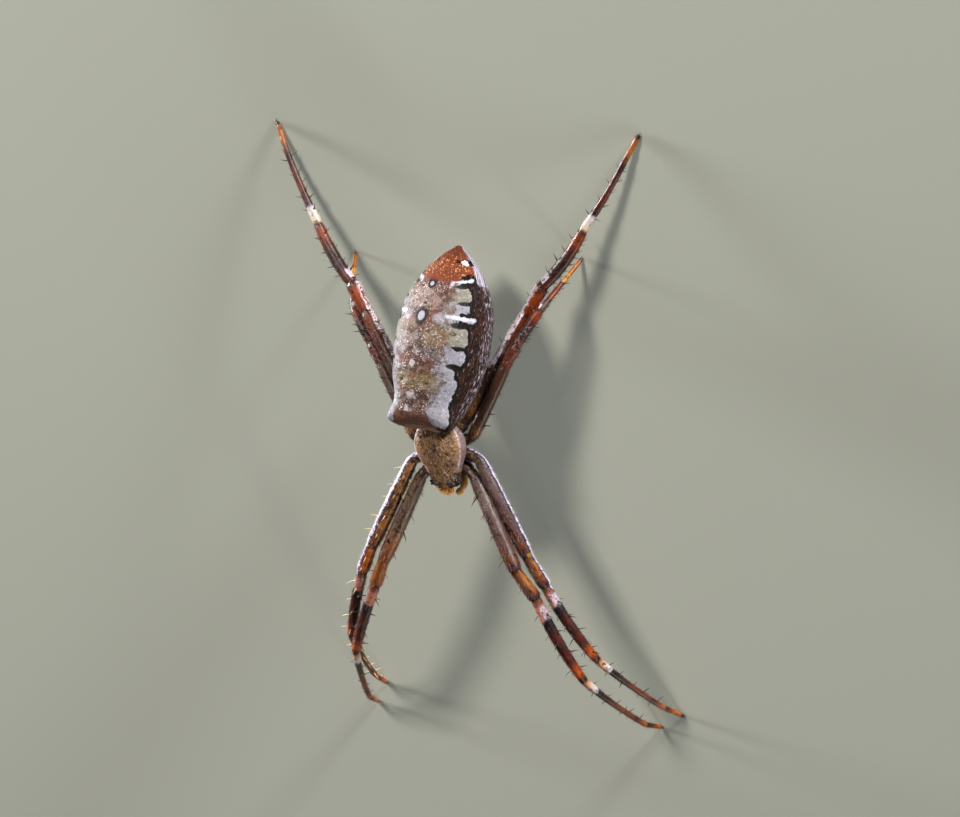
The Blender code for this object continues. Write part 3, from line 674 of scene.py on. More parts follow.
def make_carapace():
    """The shield with its grooves, pit, eye mounds and rim, closed underneath, with its markings' fields."""
    share = np.linspace(0, 1, SHIELD_RINGS)[:, None]
    over = np.radians(np.linspace(0, 180, SHIELD_OVER))[None, :]
    top = carapace_surface(share, over, SHELL_INSET)
    x, y = top[..., 0], top[..., 1]
    groove = groove_depths(x, y)
    pit = np.exp(-(((x - PIT[0]) / 0.30) ** 2) - ((y - PIT[1]) / 0.11) ** 2)
    bumps = 0.0 * x
    for place, degrees, radius in EYES.values():
        centre = carapace_surface(np.array([place]), np.array([math.radians(degrees)]))[0]
        for side in (-1, 1):
            far = np.linalg.norm(top - centre * [side, 1, 1], axis=2)
            bumps += EYE_MOUND * np.exp(-((far / (radius * 1.7)) ** 2))
    rim = np.exp(-((np.minimum(over, math.pi - over) / 0.13) ** 2)) + 0 * share
    out = outward_of(np.concatenate([top, top[:, ::-1] * [1, 1, 0]], 1))[:, : top.shape[1]]
    lift = -GROOVE_DEPTH * groove - PIT_SINK * pit + bumps + RIM_RISE * rim
    top = top + out * lift[..., None]
    inner = np.linspace(1, -1, SHIELD_UNDER + 2)[None, 1:-1]
    under_x = -smooth_read(CARAPACE_WIDTHS, share) * (CARAPACE_WIDTH / 2 - 0.05) * inner
    under = np.stack([under_x, CARAPACE_FRONT + share * CARAPACE_LENGTH + 0 * under_x,
                      CARAPACE_RIM + 0.04 * (1 - inner**2) + 0 * share], -1)
    shell = np.concatenate([top, under], 1)
    face = shell[0].mean(0) + (shell[0] - shell[0].mean(0)) * FACE_CAPS[:, None, None]
    face[..., 1] -= 0.08 * np.sqrt(1 - FACE_CAPS**2)[:, None]
    rings = in_prosoma(np.concatenate([face, shell])) + ROOT
    flat = 0 * rings[..., 0]
    out = outward_of(rings)
    back_under = math.pi + np.linspace(0, math.pi, SHIELD_UNDER + 2)[1:-1]
    turn = np.concatenate([over[0], back_under])[None, :] + flat

    def whole(values, underneath):
        """A field of the top, carried over the face and with one value underneath."""
        below = np.full((SHIELD_RINGS, SHIELD_UNDER), underneath)
        return ends_repeated(np.concatenate([values, below], 1), len(FACE_CAPS), 0)

    fields = {
        "reach": ends_repeated(share, len(FACE_CAPS), 0) + flat, "turn_cos": np.cos(turn),
        "turn_sin": np.sin(turn), "groove": whole(np.maximum(groove, pit), 0.0),
        "eyes": whole(bumps, 0.0), "cover": whole(1.0 + 0 * x, 0.0), "away": out,
        "spoke": whole(np.arctan2(x - PIT[0], y - PIT[1]), 0.0),
        "from_pit": whole(np.hypot(x - PIT[0], y - PIT[1]), 2.0),
        "lie": np.stack([-np.cos(turn), 1 + flat, flat], -1) @ PROSOMA_AXES.T + out * 0.25,
    }
    return closed_skin("carapace_shell", rings, fields)


def carapace_colours(tree):
    """Brown with pit rays, freckles, cheeks dark with hair and painted shade, and a pale line in a grey-lilac
    margin.
    """
    middle, fine = mottling(tree, 3.0), mottling(tree, 11.0, seed=4.0)
    reach, aside = field(tree, "reach"), field(tree, "turn_cos")
    spoke, from_pit = times(field(tree, "spoke"), 5.0), times(field(tree, "from_pit"), 1.6)
    course = add(tree, "ShaderNodeCombineXYZ", spoke, from_pit)
    rays, thin = mottling(tree, 1.0, 2.0, 0.5, course), mottling(tree, 3.0, 2.0, 0.5, course, seed=6.0)
    beside = add(tree, "ShaderNodeMath", aside, operation="ABSOLUTE").outputs[0]
    margin, frayed = ragged(beside, middle, 0.10), ragged(beside, fine, 0.20)
    line = times(window(frayed, 0.87, 0.90, 0.04), window(reach, 0.34, 0.95, 0.1))
    cheek_hair_and_shade = times(window(frayed, 0.66, 2.0, 0.1), window(reach, -1.0, 0.20, 0.06))
    return layered(
        "#6C4628",
        ("#946C40", middle, 0.40, 0.60),
        ("#8A6450", times(middle, window(reach, 0.30, 0.58, 0.12)), 0.40, 0.62, 0.8),
        ("#3E2410", rays, 0.55, 0.64, 0.85),
        ("#A5907C", thin, 0.55, 0.63, 0.85),
        ("#2A170F", ragged(field(tree, "groove"), middle, 1.2), 0.55, 0.95, 0.9),
        ("#77666A", margin, 0.90, 0.95, 0.9),
        ("#4A3834", times(window(margin, 0.93, 2.0, 0.03), thin), 0.45, 0.62, 0.8),
        ("#B8ACB4", times(line, thin), 0.30, 0.55, 0.85),
        ("#34201A", fine, 0.60, 0.70, 0.75),
        # The cheeks: dark hair, deepened by painted shade.
        ("#120A0C", cheek_hair_and_shade, 0.3, 0.8, 0.95),
        ("#2A1B17", ragged(field(tree, "eyes"), fine, 0.03), 0.03, 0.065, 0.9),
    )


carapace = make_carapace()
# Sclerotised cuticle: matt and finely pitted under lying hairs.
shield, tree, shader = new_material("carapace_cuticle", Roughness=0.5, Specular_IOR_Level=0.4)
surface(shader, carapace_colours(tree), mottling(tree, 9.0, 4.0), 0.8, 0.06)
fit(carapace, shield, "prosoma", "carapace")


# ==================================================================== eyes
# Eight simple eyes in two rows, each a polished dark lens bedded in a small tubercle of the shield. Each is
# a domed cap that ends a little below its widest ring, inside its mound.

SIDE = {"left": 1, "right": -1}  # the sign of x
EYE_SINK = 0.45  # radians of the lens below its widest ring

# Clear lens over dark pigment: almost black, with one sharp highlight.
eye_glass, tree, shader = new_material("eye_lens", Roughness=0.12, Coat_Weight=0.3)
surface(shader, painted("#070404", "#2A1410", mottling(tree, 20.0, 2.0), 0.5, 0.8, 0.6))
for name, (place, degrees, radius) in EYES.items():
    share, over, step = np.array([place]), np.array([math.radians(degrees)]), 0.02
    centre = carapace_surface(share, over)[0]
    outward = -np.cross(carapace_surface(share + step, over)[0] - centre,
                        carapace_surface(share, over + step)[0] - centre)
    outward *= -np.sign(outward[1]) / np.linalg.norm(outward)
    one = np.cross(outward, [0, 0, 1])
    one /= np.linalg.norm(one)
    two = np.cross(outward, one)
    rise, spin = np.linspace(-EYE_SINK, math.pi / 2 - 0.08, 16), round_angles(32)
    spoke = one[None] * np.cos(spin)[:, None] + two[None] * np.sin(spin)[:, None]
    lens = (centre + outward * 0.25 * radius + outward * np.sin(rise)[:, None, None] * radius
            + spoke[None] * np.cos(rise)[:, None, None] * radius)
    for side, mirror in SIDE.items():
        eye = closed_skin(name + "_lens_" + side, in_prosoma(lens * [mirror, 1, 1]) + ROOT, {})
        fit(eye, eye_glass, "eye", name + "_" + side)


# ==================================================================== underside and waist
# The heart-shaped chest plate between the leg bases, dark with a pale streak, on soft side membranes, and the
# narrow waist that carries the sac.

STERNUM_BOTTOM, STERNUM_FRONT, STERNUM_REAR, STERNUM_HALF_WIDTH = -1.32, -1.15, 1.1, 0.72
# Rings from the plate up its side membranes: height, and share of the plate's outline.
STERNUM_LEVELS = ((STERNUM_BOTTOM + 0.02, 0.15), (STERNUM_BOTTOM + 0.03, 0.45), (STERNUM_BOTTOM + 0.05, 0.68),
                  (STERNUM_BOTTOM + 0.10, 0.86), (STERNUM_BOTTOM + 0.18, 0.94), (-1.02, 0.96), (-0.93, 0.90),
                  (-0.80, 0.86), (-0.5, 0.82), (-0.2, 0.78), (CARAPACE_RIM - 0.01, 0.76))
# The waist's path, front to rear, and its radius along it.
WAIST = ((0.0, (0.0, 0.9, -0.46)), (0.35, (0.0, 1.5, -0.46)), (0.7, (-0.03, 1.9, -0.38)),
         (1.0, (-0.1, 2.4, -0.22)))
WAIST_RADII = ((0, 0.22), (0.3, 0.24), (0.5, 0.20), (0.7, 0.24), (1, 0.28))


def make_sternum():
    """The chest plate, notched where each leg's base sits, with its side membranes up to the shield."""
    angle = round_angles(72)
    along = 0.5 - 0.5 * np.cos(angle)
    notches = 1 - 0.05 * np.cos(along * 2 * math.pi * 4) * np.abs(np.sin(angle))
    x = STERNUM_HALF_WIDTH * np.sin(angle) * (1.12 - 0.35 * along) * notches
    y = STERNUM_FRONT + (STERNUM_REAR - STERNUM_FRONT) * along
    rings = np.array([np.stack([x * size, y * size, height + 0 * x], -1) for height, size in STERNUM_LEVELS])
    fields = {"height": rings[..., 2], "middle": np.abs(rings[..., 0])}
    return closed_skin("sternum_plate", in_prosoma(rings) + ROOT, fields)


# Hard dark cuticle with a cream streak down the middle, and brown skin where it folds up at the sides.
chest, tree, shader = new_material("sternum_cuticle", Roughness=0.45)
stripe = ragged(field(tree, "middle"), mottling(tree, 2.0), 0.25)
tone = layered(
    "#2A1813",
    ("#4A2F22", mottling(tree, 4.0), 0.4, 0.65),
    (painted("#CDBE86", "#A3906A", mottling(tree, 5.0, seed=3.0), 0.5, 0.7), stripe, 0.20, 0.15),
    ("#8A6F5C", field(tree, "height"), -0.98, -0.90),
)
surface(shader, tone, mottling(tree, 10.0), 0.5, 0.03)
fit(make_sternum(), chest, "underside", "sternum")

steps = np.linspace(0, 1, 24)
path = np.stack([smooth_read([(at, point[axis]) for at, point in WAIST], steps) for axis in range(3)], -1)
thick = smooth_read(WAIST_RADII, steps) + 0.012 * np.sin(steps * 60)
rings, _ = lofted_tube(in_prosoma(path) + ROOT, thick, 24)
fit(closed_skin("pedicel_skin", rings, {}), chest, "underside", "pedicel")


# ==================================================================== jaws
# Two stout jaws hang from under the face: polished dark cuticle, each with a curved fang folded in at its
# end. Jaws and fangs are cast apart and pegged in.

JAW = ((0.33, -2.02, -0.10), (0.33, -2.12, -0.35), (0.34, -2.18, -0.75), (0.34, -2.14, -1.15),
       (0.31, -2.05, -1.42), (0.27, -1.95, -1.56))
JAW_RADII = (0.22, 0.285, 0.30, 0.275, 0.21, 0.10)
FANG = ((0.30, -2.10, -1.46), (0.24, -2.14, -1.56), (0.14, -2.10, -1.60), (0.06, -2.02, -1.56))


def read_along(values, steps):
    """A smooth run through numbers or points that stand at even shares."""
    shares = np.linspace(0, 1, len(values))
    columns = np.reshape(values, (len(values), -1)).T
    columns = [smooth_read(list(zip(shares, column)), steps) for column in columns]
    return columns[0] if np.ndim(values) == 1 else np.stack(columns, -1)


# Thick polished cuticle: smooth red-brown, going to near black and glassy at fangs and claws.
jaw_cuticle, tree, shader = new_material("jaw_cuticle", Roughness=0.25, Coat_Weight=0.4)
tone = layered("#2A130C", ("#5A2E1A", mottling(tree, 3.0), 0.45, 0.7),
               ("#130806", mottling(tree, 9.0, seed=3.0), 0.55, 0.7, 0.7))
surface(shader, tone, mottling(tree, 12.0), 0.3, 0.02)
fang_cuticle, tree, shader = new_material("fang_and_claw_cuticle", Roughness=0.18, Coat_Weight=0.5)
surface(shader, painted("#120705", "#3C1409", mottling(tree, 4.0), 0.4, 0.7))
for side, mirror in SIDE.items():
    steps = np.linspace(0, 1, 30)
    path = in_prosoma(read_along(JAW, steps) * [mirror, 1, 1]) + ROOT
    rings, _ = lofted_tube(path, read_along(JAW_RADII, steps), 28, (0, -1, 0))
    fit(closed_skin("chelicera_shell_" + side, rings, {}), jaw_cuticle, "jaw", "chelicera_" + side)
    steps = np.linspace(0, 1, 14)
    path = in_prosoma(read_along(FANG, steps) * [mirror, 1, 1]) + ROOT
    rings, _ = lofted_tube(path, 0.075 * (1 - 0.85 * steps), 12)
    fit(closed_skin("fang_" + side, rings, {}), fang_cuticle, "jaw")


# ==================================================================== palps
# Two short feelers beside the jaws, in amber cuticle that light passes through, spotted with brown. Each is
# one tube, rooted beside a jaw, that narrows at its three joints.

PALP_PATH = ((0.42, -1.44, -1.00), (0.62, -1.62, -1.00), (0.80, -1.84, -0.92), (0.92, -2.16, -0.80),
             (0.87, -2.54, -0.66), (0.69, -2.82, -0.60), (0.49, -2.99, -0.72), (0.38, -3.07, -0.95),
             (0.32, -3.10, -1.20), (0.30, -3.06, -1.42))
PALP_RADII = (0.23, 0.22, 0.17, 0.20, 0.23, 0.19, 0.24, 0.25, 0.21, 0.09)
PALP_JOINTS = (0.22, 0.56, 0.70)
PALP_AROUND = 24

# Thin clear cuticle over pale flesh: it glows where light comes through.
amber, tree, shader = new_material("palp_amber_cuticle", Roughness=0.32, Coat_Weight=0.2, Subsurface_Scale=MM,
                                   Subsurface_Weight=0.35, Subsurface_Radius=(0.3, 0.2, 0.1))
# Bright orange and pale yellow: partly the cuticle's own amber, partly painted glow of light passing through.
tone = layered(
    "#FF9A22",
    ("#FFC66E", mottling(tree, 2.5), 0.4, 0.58),
    ("#5A2A0C", mottling(tree, 5.0, seed=5.0), 0.64, 0.70, 0.9),
    ("#6B3512", field(tree, "reach"), 0.28, 0.10),
    ("#4A2410", field(tree, "joint"), 0.5, 1.0, 0.8),
)
surface(shader, tone)
palps = {}
for side, mirror in SIDE.items():
    steps = np.linspace(0, 1, 90)
    path = in_prosoma(read_along(PALP_PATH, steps) * [mirror, 1, 1]) + ROOT
    joint = np.max([np.exp(-(((steps - place) / 0.014) ** 2)) for place in PALP_JOINTS], axis=0)
    rings, ahead = lofted_tube(path, read_along(PALP_RADII, steps) * (1 - 0.22 * joint), PALP_AROUND)
    spin, out = round_angles(PALP_AROUND)[None, :] + 0 * rings[..., 0], outward_of(rings)
    fields = {
        "reach": over_caps(steps)[:, None], "joint": over_caps(joint)[:, None], "turn_cos": np.cos(spin),
        "turn_sin": np.sin(spin), "strip": np.full((1, 1), float(side == "right")), "away": out,
        "lie": over_caps(ahead)[:, None] + out * 0.7,
    }
    palps[side] = closed_skin("palp_skin_" + side, rings, fields)
    fit(palps[side], amber, "palp", "palp_" + side)


# ==================================================================== legs
# Eight legs of tubular cuticle, each one unbroken skin from coxa to foot that narrows at its joints: taupe
# thighs, orange knees, and shins and feet banded white, black, red-brown and orange.

FOOT_HEIGHT = 0.18
# By pair, front to rear: femur, knee, tibia, metatarsus and tarsus.
LENGTHS = {1: (6.5, 2.15, 6.1, 6.7, 1.75), 2: (6.7, 2.2, 5.8, 6.1, 1.65), 3: (5.2, 1.5, 2.6, 2.8, 1.3),
           4: (7.6, 2.1, 4.4, 5.4, 1.5)}
FEMUR_BASE = {1: (1.77, -1.80, -0.37), 2: (2.26, -0.78, -0.46), 3: (1.91, 0.55, -0.59),
              4: (1.58, 1.68, -0.93)}
COXA_BASE = {1: (0.72, -1.00, -0.72), 2: (0.92, -0.42, -0.74), 3: (0.92, 0.22, -0.74),
             4: (0.68, 0.80, -0.76)}
FEMUR_RADIUS = {1: 0.44, 2: 0.44, 3: 0.40, 4: 0.48}
THIGH_SWELL = ((0.0, -0.02), (0.2, -0.02), (0.4, 0.03), (0.6, 0.08), (0.8, 0.10), (1.0, 0.07))  # front pairs
TIBIA_BOW = {1: (0.26, 0.0), 2: (0.26, 0.0), 3: (0.08, 0.0), 4: (0.0, 0.2)}  # upwards, and away from the body
# How each leg stands, in degrees: turned back from straight out, the rise of each segment, and how far each
# segment from the tibia on turns from the one before.
STANCE = {
    ("left", 1): (-62.5, (13.0, -8.0, -8.0, -43.5, -62.0), (-7.0, -6.0, -3.0)),
    ("right", 1): (-59.8, (6.0, -7.0, -11.0, -37.0, -55.5), (-0.5, -6.0, -1.0)),
    ("left", 2): (-66.5, (3.5, -5.5, -10.0, -35.5, -48.5), (1.0, 1.5, -2.0)),
    ("right", 2): (-58.5, (6.0, -7.0, -12.5, -41.0, -52.5), (-6.5, -9.5, -5.0)),
    ("left", 3): (60.0, (-9.0, -17.5, -24.0, -49.5, -51.5), (-5.5, 2.5, 1.0)),
    ("right", 3): (56.0, (-18.0, -18.0, -18.0, -45.0, -48.5), (-2.5, 9.0, 2.5)),
    ("left", 4): (57.5, (-17.0, -16.0, -14.0, -12.0, -11.5), (-7.5, 5.0, 2.0)),
    ("right", 4): (56.5, (-15.5, -16.0, -15.5, -15.0, -17.0), (-4.0, 9.0, 3.5)),
}
LEG_NODES = ("coxa", "femur", "tibia", "metatarsus", "tarsus")
# Each stage of the leg, coxa to tarsus, as (share along it, share of the femur's radius).
LEG_SHAPE = (
    ((0, 0.60), (0.25, 0.86), (0.5, 0.94), (0.66, 0.92), (0.76, 0.80), (0.88, 0.84), (1, 0.80)),
    ((0, 0.82), (0.12, 0.96), (0.4, 0.99), (0.75, 0.97), (0.93, 0.92), (1, 0.82)),
    ((0, 0.80), (0.3, 0.85), (0.7, 0.94), (0.9, 0.93), (1, 0.82)),
    ((0, 0.74), (0.15, 0.78), (0.5, 0.77), (0.8, 0.69), (0.94, 0.63), (1, 0.56)),
    ((0, 0.55), (0.10, 0.56), (0.3, 0.47), (0.6, 0.41), (0.95, 0.39), (1, 0.36)),
    ((0, 0.35), (0.15, 0.36), (0.5, 0.34), (0.85, 0.31), (1, 0.20)),
)
JOINT_STAGES = (0.78, 1.0, 2.0, 3.0, 4.0, 5.0)
JOINT_DIP, JOINT_WIDTH = 0.06, 0.08
LEG_STEP, LEG_AROUND, FOOT_RINGS = 0.1, 26, 14
TIP_REACH, TIP_HEIGHT = 0.1, 0.27  # mm past the last joint, and share of the femur's radius above the floor
SMOOTH_OVER = 5  # points to each side that round a leg's bends


def heading(side, turn, rise):
    """The direction of a segment: turned back from straight out sideways, rising from level, in degrees."""
    turn, rise = math.radians(turn), math.radians(rise)
    level = math.cos(rise)
    return np.array([SIDE[side] * math.cos(turn) * level, math.sin(turn) * level, math.sin(rise)])


def leg_joints(side, pair):
    """The joints from coxa to foot, the whole leg tipped so that its foot meets the floor."""
    mirror = [SIDE[side], 1, 1]
    turn, rises, turns = STANCE[side, pair]
    base = in_prosoma(np.array(FEMUR_BASE[pair]) * mirror)

    def joints(tip_by):
        points, now = [base], turn
        for length, rise, more in zip(LENGTHS[pair], rises, (0.0, 0.0) + turns):
            now += more
            points.append(points[-1] + heading(side, now, rise + tip_by) * length)
        return points

    low, high = -20.0, 20.0
    for _ in range(50):
        middle = (low + high) / 2
        low, high = (low, middle) if joints(middle)[-1][2] > FOOT_HEIGHT else (middle, high)
    return np.array([in_prosoma(np.array(COXA_BASE[pair]) * mirror)] + joints(low)) + ROOT


def bow_of(start, end, side, pair):
    """The sideways offset of a shin's middle: so much upwards and so much away from the body."""
    along = (end - start) / np.linalg.norm(end - start)
    outward = np.cross(along, [0, 0, 1])
    outward /= np.linalg.norm(outward)
    outward *= np.sign(outward[0]) * SIDE[side]
    upward = np.cross(outward, along)
    up, out = TIBIA_BOW[pair]
    return upward * np.sign(upward[2]) * up + outward * out


def leg_course(side, pair):
    """A smooth path along a leg, and each point's stage: 0 at the coxa's start, 6 at the tip."""
    joints = leg_joints(side, pair)
    last = (joints[-1] - joints[-2]) / np.linalg.norm(joints[-1] - joints[-2])
    joints[-1] += last * [TIP_REACH, TIP_REACH, 0]
    joints[-1][2] = TIP_HEIGHT * FEMUR_RADIUS[pair]
    path, stage = [], []
    for k in range(6):
        start, end = joints[k], joints[k + 1]
        bow = bow_of(start, end, side, pair) * {3: 1.0, 4: 0.5}.get(k, 0.0)
        count = max(6, round(np.linalg.norm(end - start) / LEG_STEP))
        t = np.arange(count)[:, None] / count
        path.append(start + (end - start) * t + bow * 4 * t * (1 - t))
        stage.append(k + t[:, 0])
    path, stage = np.concatenate(path + [joints[-1:]]), np.append(np.concatenate(stage), 6.0)
    kernel = np.exp(-(np.arange(-SMOOTH_OVER, SMOOTH_OVER + 1) / 2.0) ** 2 / 2)
    before, after = path[SMOOTH_OVER:0:-1], path[-2 : -2 - SMOOTH_OVER : -1]
    padded = np.concatenate([2 * path[0] - before, path, 2 * path[-1] - after])
    return np.stack([np.convolve(column, kernel / kernel.sum(), "valid") for column in padded.T], -1), stage


def make_leg(side, pair, strip):
    """A leg's skin from coxa to foot, with the path, the stages and the radii that its spines stand on."""
    path, stage = leg_course(side, pair)
    run = np.append(0, np.cumsum(np.linalg.norm(np.diff(path, axis=0), axis=1)))
    k = np.minimum(stage.astype(int), 5)
    radii = np.choose(k, [smooth_read(shape, np.clip(stage - i, 0, 1)) for i, shape in enumerate(LEG_SHAPE)])
    joint = np.zeros_like(run)
    for place in JOINT_STAGES:
        far = run - np.interp(place, stage, run)
        joint = np.maximum(joint, np.exp(-((far / JOINT_WIDTH) ** 2)))
    swell = smooth_read(THIGH_SWELL, np.clip(stage - 1, 0, 1)) * (pair < 3)
    swell = 1 + swell * np.clip((2.15 - stage) / 0.15, 0, 1)
    radii = radii * FEMUR_RADIUS[pair] * swell * (1 - JOINT_DIP * joint)
    rings, ahead = lofted_tube(path, radii, LEG_AROUND)
    rings[-FOOT_RINGS:, :, 2] -= max(rings[-FOOT_RINGS:, :, 2].min(), 0.0)
    rings[..., 2] = np.maximum(rings[..., 2], 0.0)
    spin, out = round_angles(LEG_AROUND)[None, :] + 0 * rings[..., 0], outward_of(rings)
    fields = {
        "stage": over_caps(stage)[:, None], "joint": over_caps(joint)[:, None], "turn_cos": np.cos(spin),
        "turn_sin": np.sin(spin) * SIDE[side], "strip": np.full((1, 1), float(strip)), "away": out,
        "pair": np.full((1, 1), float(pair)), "right": np.full((1, 1), float(side == "right")),
        "reach": over_caps(stage / 6)[:, None], "lie": over_caps(ahead)[:, None] + out * 0.55,
    }
    return closed_skin("leg_{}_{}_skin".format(side, pair), rings, fields), path, stage, radii


# Colours along the upper leg (coxa, femur and knee) and the lower leg (tibia to foot), as shares and colours.
FRONT_LEG_UPPER = (
    (0.0, "#4A3A32"), (0.20, "#75625C"), (0.24, "#1C100E"), (0.27, "#5C4840"), (0.31, "#463430"),
    (0.335, "#140A09"), (0.36, "#5C4840"), (0.45, "#5C463E"), (0.50, "#503830"), (0.54, "#4E3024"),
    (0.58, "#522C1C"), (0.63, "#5E3216"), (0.655, "#4A1E0C"), (0.668, "#2E1208"), (0.69, "#64340E"),
    (0.72, "#7E480E"), (0.80, "#8C520F"), (0.90, "#7C420C"), (0.94, "#582810"), (0.97, "#34140A"),
    (1.0, "#1C0A06"),
)
FRONT_LEG_LOWER = (
    (0.0, "#4A1C0E"), (0.022, "#7E4A3C"), (0.036, "#B4A0AA"), (0.068, "#BBABB4"), (0.080, "#181018"),
    (0.11, "#1C0F12"), (0.15, "#4C1A12"), (0.185, "#260F0E"), (0.22, "#521A0E"), (0.245, "#34120C"),
    (0.27, "#8C3A0E"), (0.297, "#A44C12"), (0.315, "#4A1A0A"), (0.332, "#1A0A06"), (0.343, "#C2845E"),
    (0.362, "#C9B6A6"), (0.385, "#D0C7CC"), (0.398, "#120D12"), (0.44, "#2A1713"), (0.50, "#5A2A1A"),
    (0.57, "#6E341C"), (0.61, "#2E1710"), (0.645, "#8E4416"), (0.662, "#9A501C"), (0.675, "#2A120A"),
    (0.76, "#6A2E10"), (0.85, "#A85A22"), (0.94, "#8E4C20"), (0.97, "#2E160C"), (1.0, "#1A0C08"),
)
HIND_LEG_UPPER = (
    (0.0, "#3E2418"), (0.24, "#180C09"), (0.27, "#54392C"), (0.335, "#140907"), (0.36, "#74481A"),
    (0.42, "#40291C"), (0.50, "#402418"), (0.56, "#482114"), (0.61, "#58230E"), (0.65, "#60260C"),
    (0.668, "#2A0E07"), (0.69, "#64260B"), (0.78, "#702C09"), (0.88, "#80340C"), (0.95, "#4C190A"),
    (1.0, "#260C06"),
)
HIND_LEG_LOWER = (
    (0.0, "#401A0F"), (0.05, "#4E2012"), (0.09, "#281210"), (0.17, "#2C1410"), (0.23, "#4A1A0E"),
    (0.265, "#74300C"), (0.305, "#6A280A"), (0.325, "#381208"), (0.335, "#5E2010"), (0.345, "#CDB79E"),
    (0.40, "#BEB4BC"), (0.412, "#241214"), (0.48, "#541E12"), (0.57, "#48201A"), (0.63, "#281214"),
    (0.668, "#62300F"), (0.72, "#8A4C10"), (0.85, "#924F0E"), (0.95, "#7A3E10"), (0.97, "#1C0D08"),
    (1.0, "#140A06"),
)


def ramp(stops, factor):
    """A colour ramp through (place, hex colour) stops."""
    made = add(factor.id_data, "ShaderNodeValToRGB", factor)
    elements = made.color_ramp.elements
    elements.remove(elements[1])
    for k, (place, colour) in enumerate(stops):
        element = elements[0] if k == 0 else elements.new(place)
        element.position, element.color = place, linear(colour)
    return made.outputs["Color"]


